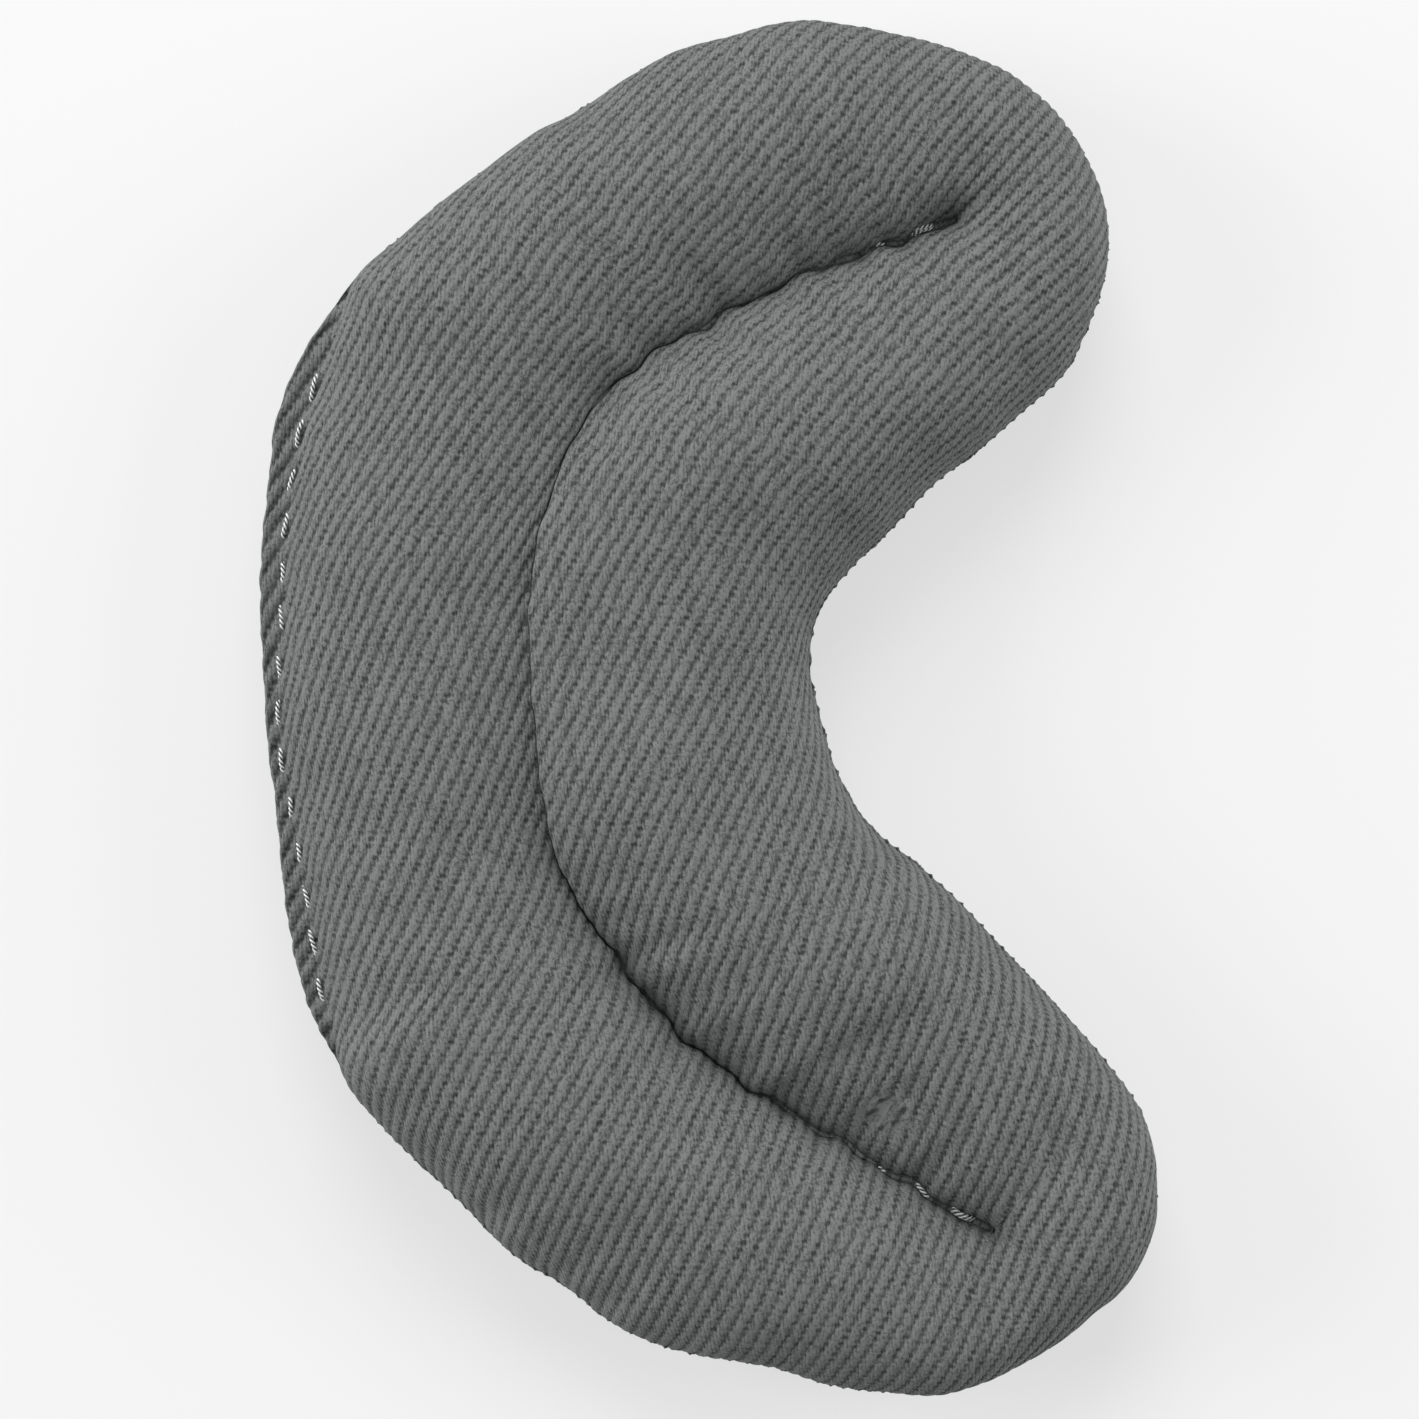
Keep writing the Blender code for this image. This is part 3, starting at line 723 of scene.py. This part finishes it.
def grid_mesh(name, columns, threads, material, side):
    """Closed shell from a ring-by-ring grid that goes out over the outer face and back
    along the lining. The crease's floor is filled by faces from side to side."""
    count, rings = columns.shape[:2]
    index = np.arange(count * rings).reshape(count, rings)
    quads = [tube_faces(count, rings)[:, :-1].reshape(-1, 4)]
    way_up = SIDE_COLUMNS + END_COLUMNS
    upper_end = way_up + SIDE_COLUMNS
    half = END_COLUMNS // 2
    for ring, flip in ((0, False), (rings - 1, True)):
        loop = index[:, ring]
        for one, other, length in ((0, upper_end, SIDE_COLUMNS), (SIDE_COLUMNS, way_up, half),
                                   (upper_end, count, half)):
            a, b = one + np.arange(length), other - np.arange(length)
            cap = loop[np.stack([a, a + 1, b - 1, b], -1) % count]
            quads.append(cap[:, ::-1] if flip else cap)
    quads = np.vstack(quads)
    if side < 0:
        quads = quads[:, ::-1]
    mesh = shell(name, columns * MM, quads)
    mesh.validate()
    mesh.shade_smooth()
    layer = mesh.uv_layers.new(name="weave")
    loops = np.zeros(len(mesh.loops), np.int32)
    mesh.loops.foreach_get("vertex_index", loops)
    layer.data.foreach_set("uv", threads.reshape(-1, 2)[loops].astype(np.float32).reshape(-1))
    mesh.materials.append(material)
    return put(name, mesh)


# Heavy three-by-one twill of spun grey yarn: each warp end floats over three picks and
# dips under one, a step higher on each end, so the floats form diagonal ropes with rows
# of pits between them, drawn dark partly for the weft and partly as painted shade.  Matt,
# with a faint fuzz and a few pale fibres.  Its colour also carries painted shade in the
# valleys and hollows and a painted highlight on each float's crown.
WANDER = (0.6, 0.36, 0.0)  # how far yarns stray, in ends and picks
HOLE_WIDTH = 0.14  # size of each hole, in mm
HOLE_LENGTH = 0.19
VALLEY_WIDTH = 0.15  # half the width of the valley between two ropes, in repeats
# Steps of the weave's sums: name, operation, then numbers or the names of earlier steps
WEAVE_STEPS = [
    # A pit is the two holes on either side of an end that dips under a pick, drawn dark partly for
    # the weft that shows there and partly as painted shade
    ("pick", "FLOOR", "v"),
    ("ends past pick", "SUBTRACT", "u", "pick"),
    ("pit place", "MULTIPLY_ADD", "ends past pick", 1.0 / REPEAT, -0.5 / REPEAT),
    ("pit number", "ROUND", "pit place"),
    ("off pit", "SUBTRACT", "pit place", "pit number"),
    ("beside pit", "ABSOLUTE", "off pit"),
    ("from hole", "MULTIPLY_ADD", "beside pit", REPEAT * WARP_PITCH / HOLE_WIDTH,
     -HOLE_ASIDE / HOLE_WIDTH),
    ("pick share", "FRACT", "v"),
    ("along hole", "MULTIPLY_ADD", "pick share", WEFT_PITCH / HOLE_LENGTH,
     -0.5 * WEFT_PITCH / HOLE_LENGTH),
    ("across", "MULTIPLY", "from hole", "from hole"),
    ("far", "MULTIPLY_ADD", "along hole", "along hole", "across"),
    ("hole", "POWER", math.exp(-1.0), "far"),
    ("pit depth", "MULTIPLY_ADD", "odd pit", 0.80, 0.35),
    ("pit", "MULTIPLY", "hole", "pit depth"),
    # The valley between two ropes, in which the pits lie; besides its relief, its colour is
    # darkened there as painted shade
    ("rise", "SUBTRACT", "v", "u"),
    ("rope place", "MULTIPLY", "rise", 1.0 / REPEAT),
    ("rope number", "ROUND", "rope place"),
    ("off valley", "SUBTRACT", "rope place", "rope number"),
    ("slope", "MULTIPLY", "off valley", "off valley"),
    ("valley", "POWER", math.exp(-1.0 / VALLEY_WIDTH ** 2), "slope"),
    # Rounded yarns: hollow between two ends, and crowned along each float; besides their relief,
    # the hollows are darkened as painted shade and the crowns lightened as a painted highlight
    ("end", "FLOOR", "u"),
    ("end share", "FRACT", "u"),
    ("off end", "MULTIPLY_ADD", "end share", 2.0, -1.0),
    ("beside end", "ABSOLUTE", "off end"),
    ("hollow", "POWER", "beside end", 3.0),
    ("picks past end", "SUBTRACT", "v", "end"),
    ("float place", "MULTIPLY", "picks past end", 1.0 / REPEAT),
    ("float number", "FLOOR", "float place"),
    ("bend", "MULTIPLY_ADD", "float place", math.pi, -math.pi / 8.0),
    ("bow", "SINE", "bend"),
    ("arc", "ABSOLUTE", "bow"),
    ("crown", "POWER", "arc", 1.6),
    # Pale fibres are the strongest streaks
    ("fleck", "MULTIPLY_ADD", "streak", 6.0, -3.6),
    # The pits darken the colour: partly the weft's own colour, partly painted shade in the holes
    ("open light", "MULTIPLY_ADD", "pit", -0.72, 1.0),
    ("yarn height", "MULTIPLY", "crown", 0.5),
]
# What else lightens or darkens the yarn's colour, as (value, times, plus); all are multiplied
# together: painted shade in the valleys and hollows, a painted highlight on the crowns, and the
# yarn's own uneven tone from odd floats, streaks, grain and patches
SHADES = [
    ("valley", -0.34, 1.0), ("hollow", -0.20, 1.0), ("crown", 0.12, 0.88),
    ("odd float", 0.36, 0.80), ("streak", 2.3, -0.2), ("grain", 2.8, -0.4), ("patch", 0.3, 0.85),
]
RELIEF = [("hollow", -0.45), ("pit", -1.0), ("valley", -0.5), ("streak", 0.35)]
FLECK_LIGHT = 0.42

# Spun yarns wander a little, so the thread counts are shifted by a soft noise
twill, tree, output = new_material("grey_cotton_twill")
counts = add_node(tree, "ShaderNodeUVMap", {"uv_map": "weave"})
wander = add_node(tree, "ShaderNodeTexNoise", {
    "noise_dimensions": "2D", "Scale": 0.32, "Detail": 1.0, "Roughness": 0.5},
    {"Vector": counts.outputs[0]})
shift = add_node(tree, "ShaderNodeVectorMath", {"operation": "SUBTRACT", 1: (0.5, 0.5, 0.5)},
                 {0: wander.outputs["Color"]})
moved = add_node(tree, "ShaderNodeVectorMath", {"operation": "MULTIPLY_ADD", 1: WANDER},
                 {0: shift.outputs[0], 2: counts.outputs[0]})
split = add_node(tree, "ShaderNodeSeparateXYZ", links={0: moved.outputs[0]})

# Each pit and each float has a strength of its own.  The streaks, grain and flecks of the
# yarn's fibres are drawn about ten times as coarse as real, so that they show.
pit_name = add_node(tree, "ShaderNodeCombineXYZ")
odd_pit = add_node(tree, "ShaderNodeTexWhiteNoise", {"noise_dimensions": "2D"},
                   {"Vector": pit_name.outputs[0]})
float_name = add_node(tree, "ShaderNodeCombineXYZ")
odd_float = add_node(tree, "ShaderNodeTexWhiteNoise", {"noise_dimensions": "2D"},
                     {"Vector": float_name.outputs[0]})
streak_place = add_node(tree, "ShaderNodeVectorMath", {"operation": "MULTIPLY", 1: (1.9, 1.3, 0.0)},
                        {0: moved.outputs[0]})
streak = add_node(tree, "ShaderNodeTexNoise", {
    "noise_dimensions": "2D", "Scale": 1.0, "Detail": 3.0, "Roughness": 0.7},
    {"Vector": streak_place.outputs[0]})
where = add_node(tree, "ShaderNodeTexCoord")
patch = add_node(tree, "ShaderNodeTexNoise", {"Scale": 110.0, "Detail": 4.0, "Roughness": 0.6},
                 {"Vector": where.outputs["Object"]})
grain = add_node(tree, "ShaderNodeTexNoise", {"Scale": 3600.0, "Detail": 2.0, "Roughness": 0.8},
                 {"Vector": where.outputs["Object"]})

values = {
    "u": split.outputs[0], "v": split.outputs[1], "odd pit": odd_pit.outputs[0],
    "odd float": odd_float.outputs[0], "streak": streak.outputs[0], "grain": grain.outputs[0],
    "patch": patch.outputs[0],
}
for name, operation, *inputs in WEAVE_STEPS:
    numbers = {k: given for k, given in enumerate(inputs) if not isinstance(given, str)}
    earlier = {k: values[given] for k, given in enumerate(inputs) if isinstance(given, str)}
    step = add_node(tree, "ShaderNodeMath", {"operation": operation, **numbers}, earlier)
    values[name] = step.outputs[0]
values["fleck"].node.use_clamp = True
for numbered, first, second in ((pit_name, "pit number", "pick"),
                                (float_name, "end", "float number")):
    tree.links.new(values[first], numbered.inputs[0])
    tree.links.new(values[second], numbered.inputs[1])

# The colour is mixed from dark to pale by this product: painted shade in the pits, valleys and
# hollows, a painted highlight on the crowns, the yarn's own uneven tone and its pale fibres
light = values["open light"]
for source, times, plus in SHADES:
    shade = add_node(tree, "ShaderNodeMath", {"operation": "MULTIPLY_ADD", 1: times, 2: plus},
                     {0: values[source]})
    product = add_node(tree, "ShaderNodeMath", {"operation": "MULTIPLY"},
                       {0: light, 1: shade.outputs[0]})
    light = product.outputs[0]
flecked = add_node(tree, "ShaderNodeMath", {
    "operation": "MULTIPLY_ADD", "use_clamp": True, 1: FLECK_LIGHT}, {0: values["fleck"], 2: light})
colour = add_node(tree, "ShaderNodeMix", {
    "data_type": "RGBA", 6: linear("#232625"), 7: linear("#7F8281")}, {0: flecked.outputs[0]})
height = values["yarn height"]
for source, times in RELIEF:
    raised = add_node(tree, "ShaderNodeMath", {"operation": "MULTIPLY_ADD", 1: times},
                      {0: values[source], 2: height})
    height = raised.outputs[0]
bump = add_node(tree, "ShaderNodeBump", {"Strength": 0.8, "Distance": 0.00010}, {"Height": height})
cloth = add_node(tree, "ShaderNodeBsdfPrincipled", {
    "Roughness": 0.88, "Specular IOR Level": 0.25, "Sheen Weight": 0.08, "Sheen Roughness": 0.5},
    {"Base Color": colour.outputs[2], "Normal": bump.outputs[0]})
tree.links.new(cloth.outputs[0], output.inputs["Surface"])

front_threads = weave_of(front_points[:, :FRONT_FACE], 1)
back_threads = weave_of(back_points[:, :FRONT_FACE], -1)
top_move, low_move = settle(front_points, back_points)
front_points[:, :ARCH_RINGS] = keep_apart(front_points[:, :ARCH_RINGS] + top_move, 1)
back_points[:, :ARCH_RINGS] = keep_apart(back_points[:, :ARCH_RINGS] + low_move, -1)


def make_cover(name, points, out, high, threads, side):
    """Raises the weave on a panel's outer face, adds its lining and makes the piece."""
    normal = face_normals(points)
    if side < 0:
        normal = -normal
    lift = unevenness(points)
    rings = np.arange(points.shape[1])
    fade = smooth_step((rings - WALL_RINGS) / 20.0) * smooth_step((ARCH_RINGS - rings) / 26.0)
    lift = lift * fade * (1.0 if side > 0 else 0.4)
    at_crease, at_edge = puckers()
    near = np.maximum(rings - WALL_RINGS, 0)
    lift += at_crease[:, None] * (smooth_step(near / 10.0) * np.exp(-near / 16.0))[None, :]
    lift += at_edge[:, None] * (np.exp(-np.abs(rings - 128.0) / 16.0)
                                * smooth_step((ARCH_RINGS - rings) / 10.0))[None, :]
    points = points + normal * lift[:, :, None]
    face = points[:, :FRONT_FACE]
    normal = face_normals(face) * (1 if side > 0 else -1)
    ropes = weave_height(threads)
    last = np.arange(FRONT_FACE)
    keep = smooth_step((FRONT_FACE - last) / 6.0) * smooth_step(last / 4.0)
    turned = np.exp(-((last - ARCH_RINGS - 6.0 * lip[:, None] + 3.0) / 9.0) ** 2)
    ropes = ropes * (1.0 + EDGE_RELIEF * turned)
    face = face + normal * (ropes * keep)[:, :, None]
    if side < 0:
        face[..., 2] = np.maximum(face[..., 2], 0.01)
    in_x, in_z = lining(out[:, :ARCH_RINGS], high[:, :ARCH_RINGS])
    inner = place(in_x, in_z, side)
    everything = np.concatenate([face, points[:, FRONT_FACE:], inner], axis=1)
    extra = everything.shape[1] - FRONT_FACE
    drift = np.repeat(threads[:, -1:], extra, axis=1) + np.arange(1, extra + 1)[None, :, None] * 0.7
    return grid_mesh(name, everything, np.concatenate([threads, drift], axis=1), twill, side)


for name, node, points, out, high, threads, side in (
        ("front_panel", "front_cover", front_points, front_out, front_high, front_threads, 1),
        ("back_panel", "back_cover", back_points, back_out, back_high, back_threads, -1)):
    panel = make_cover(name, points, out, high, threads, side)
    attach(panel, "root")
    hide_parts(node)

# ----------
# Stuffing: one ring of loose white polyester fibre, packed into both channels and
# round both ends of the quilt seam.  It lies inside the covers, clear of their cloth.
FILL_GAP = 0.5  # space between the fibre and the cloth
FILL_PICKS = 26  # points over each half of its section
SLOT = 1.3  # half the height that the turned-in allowances need
FILL_STEP = 8  # every eighth column of the covers is enough


def fill_half(x, z):
    """Upper half of the fibre's sections, a little inside the cloth's inner face."""
    picks = np.linspace(3, ARCH_RINGS - 3, 2 * FILL_PICKS).astype(int)
    tuft = 0.25 + 0.25 * np.sin(0.9 * np.arange(len(x)))[:, None] * np.cos(0.7 * picks)[None, :]
    in_x, in_z = moved_in(x, z, picks, CLOTH + FILL_GAP + tuft)
    in_x = np.maximum(in_x, CLOTH + FILL_GAP)
    in_z = np.maximum(in_z, 0.1)
    beyond = np.arange(len(picks)) > FILL_PICKS
    clear = np.where(beyond & (in_z > SLOT), in_x, 0.0).max(axis=1, keepdims=True)
    in_z = np.where(beyond & (in_x >= clear), SLOT, in_z)
    in_x = np.minimum(in_x, clear)
    return resample(in_x, in_z, FILL_PICKS)


rows = slice(None, None, FILL_STEP)
top_x, top_z = fill_half(arch_x[rows], arch_z[rows])
low_x, low_z = fill_half(back_x[rows], back_z[rows])
slot_x = width[rows, None] - ALLOWANCE - 0.6
fill_x = np.hstack([top_x, slot_x, slot_x, low_x[:, ::-1]])
fill_z = np.hstack([top_z, 0 * slot_x + SLOT, 0 * slot_x - SLOT, -low_z[:, ::-1]])
fill_xy = foot[rows, None, :] + across[rows, None, :] * fill_x[:, :, None]
fill_points = np.concatenate([fill_xy, (SEAM_Z + fill_z)[:, :, None]], axis=2)
mesh = shell("fibre_stuffing", fill_points * MM, tube_faces(*fill_x.shape))
mesh.shade_smooth()
stuffing = put("fibre_stuffing", mesh)

# Loose polyester fibre: white, matt, in fine curly strands drawn far coarser than real;
# the greyer parts of its colour are painted shade where the strands shade each other
fibre, tree, output = new_material("white_polyester_fibre")
where = add_node(tree, "ShaderNodeTexCoord")
strand = add_node(tree, "ShaderNodeTexNoise", {
    "Scale": 900.0, "Detail": 6.0, "Roughness": 0.75, "Distortion": 3.0},
    {"Vector": where.outputs["Object"]})
shade = add_node(tree, "ShaderNodeValToRGB", links={0: strand.outputs[0]})
for stop, code, position in zip(shade.color_ramp.elements, ("#BFC2C4", "#F2F3F2"), (0.35, 0.65)):
    stop.color = linear(code)
    stop.position = position
fluff = add_node(tree, "ShaderNodeBump", {"Strength": 0.9, "Distance": 0.0004},
                 {"Height": strand.outputs[0]})
body = add_node(tree, "ShaderNodeBsdfPrincipled", {
    "Roughness": 0.8, "Specular IOR Level": 0.3, "Sheen Weight": 0.3, "Sheen Roughness": 0.4},
    {"Base Color": shade.outputs[0], "Normal": fluff.outputs[0]})
tree.links.new(body.outputs[0], output.inputs["Surface"])
stuffing.data.materials.append(fibre)
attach(stuffing, "root")
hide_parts("fibre_fill")

# ----------
# Sewing thread: glossy pale grey polyester, two plies twisted together.  Each seam
# is a lockstitch with a needle thread above and a bobbin thread below, which meet in
# the middle of the cloth at every hole.
PLY = 0.10  # radius of one ply
PLIES = 2
TWIST_OUT = 0.11  # how far each ply winds from the thread's middle
LAY = 0.92  # length of one full turn of a ply
TURN_STEPS = 9  # points in one turn
DIP = 2.2  # how suddenly the thread dives at each hole


def plies(name, route, lay):
    """Two plies twisted round a route of points in mm, as one mesh."""
    lengths = np.concatenate([[0.0], np.cumsum(np.linalg.norm(np.diff(route, axis=0), axis=1))])
    want = np.linspace(0.0, lengths[-1], int(lengths[-1] / lay * TURN_STEPS) + 2)
    middle = np.stack([np.interp(want, lengths, route[:, k]) for k in range(3)], -1)
    along = unit(np.gradient(middle, axis=0))
    side = unit(np.cross(along, [0.0, 0.0, 1.0]))
    lift = np.cross(side, along)
    curve = bpy.data.curves.new(name, "CURVE")
    curve.dimensions = "3D"
    curve.bevel_depth = PLY * MM
    curve.bevel_resolution = 1
    curve.use_fill_caps = True
    for ply in range(PLIES):
        angle = (want / lay * 2 * math.pi + ply * 2 * math.pi / PLIES)[:, None]
        points = middle + TWIST_OUT * (side * np.cos(angle) + lift * np.sin(angle))
        spline = curve.splines.new("POLY")
        spline.points.add(len(points) - 1)
        places = np.hstack([points * MM, np.ones((len(points), 1))])
        spline.points.foreach_set("co", places.reshape(-1))
    put(name, curve)
    bpy.ops.object.convert(target="MESH")
    row = bpy.context.object
    spots = np.zeros(len(row.data.vertices) * 3)
    row.data.vertices.foreach_get("co", spots)
    spots = spots.reshape(-1, 3) / MM
    tree = KDTree(len(middle))
    for number, point in enumerate(middle):
        tree.insert(point, number)
    tree.balance()
    far = np.array([tree.find(spot)[2] for spot in spots])
    # How far each point lies from the thread's middle; the thread's colour reads it for a painted
    # highlight on the crowns and painted shade between the plies
    crown = row.data.attributes.new("crown", "FLOAT", "POINT")
    crown.data.foreach_set("value", np.clip(far / (TWIST_OUT + PLY), 0.0, 1.0))
    bpy.ops.object.mode_set(mode="EDIT")
    bpy.ops.mesh.select_all(action="SELECT")
    bpy.ops.mesh.normals_make_consistent(inside=False)
    bpy.ops.object.mode_set(mode="OBJECT")
    bpy.ops.object.shade_smooth()
    row.select_set(False)
    return row


def stitched(place, xy, lie, hole, holes, sunk):
    """Route that lies at one height along a seam and dives into every hole."""
    number = np.interp(place, holes, np.arange(len(holes)))
    share = number - np.floor(number)
    share[-1] = 1.0
    up = 1.0 - np.abs(2.0 * share - 1.0) ** DIP
    low = np.minimum(np.floor(number).astype(int), len(holes) - 2)
    z = SEAM_Z + hole + (lie + sunk[low] - hole) * up
    return np.column_stack([xy, z])


# Spun polyester thread: smooth and lustrous, pale grey.  Its colour is lightened to near
# white on the plies' crowns, a painted highlight, and darkened between the plies, painted
# shade.  Its filaments are drawn about ten times as coarse as real.
thread_finish, tree, output = new_material("pale_grey_polyester_thread")
where = add_node(tree, "ShaderNodeTexCoord")
filament = add_node(tree, "ShaderNodeTexNoise", {"Scale": 5200.0, "Detail": 3.0, "Roughness": 0.6},
                    {"Vector": where.outputs["Object"]})
# Painted highlight and painted shade: the colour runs from dark between the plies to near white on
# their crowns
crowns = add_node(tree, "ShaderNodeAttribute", {"attribute_name": "crown"})
lit = add_node(tree, "ShaderNodeMath", {"operation": "MULTIPLY_ADD", 1: 0.3, 2: -0.15},
               {0: filament.outputs[0]})
lit = add_node(tree, "ShaderNodeMath", {"operation": "ADD"},
               {0: lit.outputs[0], 1: crowns.outputs["Fac"]})
ramp = add_node(tree, "ShaderNodeValToRGB", links={0: lit.outputs[0]})
for stop, code, position in zip(ramp.color_ramp.elements, ("#3B3E3D", "#F2F4F3"), (0.55, 0.88)):
    stop.color = linear(code)
    stop.position = position
strands = add_node(tree, "ShaderNodeBump", {"Strength": 0.4, "Distance": 0.00003},
                   {"Height": filament.outputs[0]})
sewn = add_node(tree, "ShaderNodeBsdfPrincipled", {
    "Roughness": 0.24, "Specular IOR Level": 1.0, "Coat Weight": 0.6, "Coat Roughness": 0.15},
    {"Base Color": ramp.outputs[0], "Normal": strands.outputs[0]})
tree.links.new(sewn.outputs[0], output.inputs["Surface"])


def sew(seam, run, xy, lie, hole, holes, sunk, lay=LAY):
    """Needle and bobbin rows of a seam: one is the other's mirror image in the seam plane."""
    for side, part in ((1.0, "needle"), (-1.0, "bobbin")):
        route = stitched(run, xy, side * lie, side * hole, holes, side * sunk)
        row = plies(f"{seam}_{part}_row", route, lay)
        row.data.materials.append(thread_finish)
        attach(row, "root")
        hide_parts(f"{seam}_{part}_thread")


# Quilt seam: down the floor of the crease, sewn back over itself at both ends
QUILT_ENDS = 1.0  # how far from the ends of the crease the row starts
BACK_TACK = 3.0  # length sewn twice at each end
TACK_ASIDE = 0.2  # how far the second pass lies beside and above the first
THREAD_LIFT = 0.22  # how high the thread's middle lies above the cloth
LOCK = 0.1  # how far from the seam plane the two threads lock at each hole
TACK_POINTS = 24
RUN_END = quilt_line.total - QUILT_ENDS
run = np.concatenate([np.linspace(QUILT_ENDS + BACK_TACK, QUILT_ENDS, TACK_POINTS),
                      np.linspace(QUILT_ENDS, RUN_END, 1600),
                      np.linspace(RUN_END, RUN_END - BACK_TACK, TACK_POINTS)])
twice = np.zeros(len(run))
twice[:TACK_POINTS] = 1.0
twice[-TACK_POINTS:] = -1.0
stitch_count = round((RUN_END - QUILT_ENDS) / STITCH)
quilt_holes = np.linspace(QUILT_ENDS, RUN_END, stitch_count + 1)
run_sway = np.interp(run, down, sway[:SIDE_COLUMNS]) + TACK_ASIDE * twice
run_xy = quilt_line.at(run) + quilt_line.out(run) * run_sway[:, None]
all_alike = np.zeros(200)
sew("quilt", run, run_xy, SEAM_FLOOR + THREAD_LIFT + TACK_ASIDE * np.abs(twice), LOCK,
    quilt_holes, all_alike)

# Closing seam: along the valley between the body and the lip
CLOSING_START = edge_line.nearest((-33.6, 30.0))
CLOSING_END = edge_line.nearest((-33.1, -26.5))
STITCH_OUT = 0.30  # how far outside the body's edge it runs
# How high each stitch lies above the cloth: some are pulled in deeper than others
LIES = [0.24, 0.18, -0.02, 0.14, 0.04, -0.03, -0.03, 0.10, 0.12, 0.06, -0.02, 0.0, 0.14, 0.10, 0.08]
place_on_edge = edge_place % edge_line.total
picked = np.nonzero((place_on_edge > CLOSING_START) & (place_on_edge < CLOSING_END))[0]
picked = picked[np.argsort(place_on_edge[picked])]
valley = np.array([np.interp(width[k] + STITCH_OUT, front_out[k, ARCH_RINGS - 20:ARCH_RINGS + 8],
                             front_high[k, ARCH_RINGS - 20:ARCH_RINGS + 8]) for k in picked])
run = np.linspace(CLOSING_START, CLOSING_END, 900)
valley = np.interp(run, place_on_edge[picked], valley)
stitch_count = round((CLOSING_END - CLOSING_START) / STITCH)
closing_holes = np.linspace(CLOSING_START, CLOSING_END, stitch_count + 1)
closing_lies = np.resize(LIES, stitch_count)
run_xy = edge_line.at(run) + edge_line.out(run) * (STITCH_OUT + 0.12 * np.sin(run * 1.3))[:, None]
sew("closing", run, run_xy, valley, 1.5 * LOCK, closing_holes, closing_lies)

# Hidden seam that joins the panels inside the rest of the edge
HIDDEN_IN = 1.6  # how far inside the edge it runs
HIDDEN_LAY = 1.84  # drawn with half the twist, because it can't be seen
run = np.linspace(CLOSING_END, CLOSING_START + edge_line.total, 1500)
stitch_count = round((run[-1] - run[0]) / STITCH)
edge_holes = np.linspace(run[0], run[-1], stitch_count + 1)
run_xy = edge_line.at(run) - edge_line.out(run) * HIDDEN_IN
sew("edge", run, run_xy, CLOTH + THREAD_LIFT, LOCK, edge_holes, all_alike, HIDDEN_LAY)
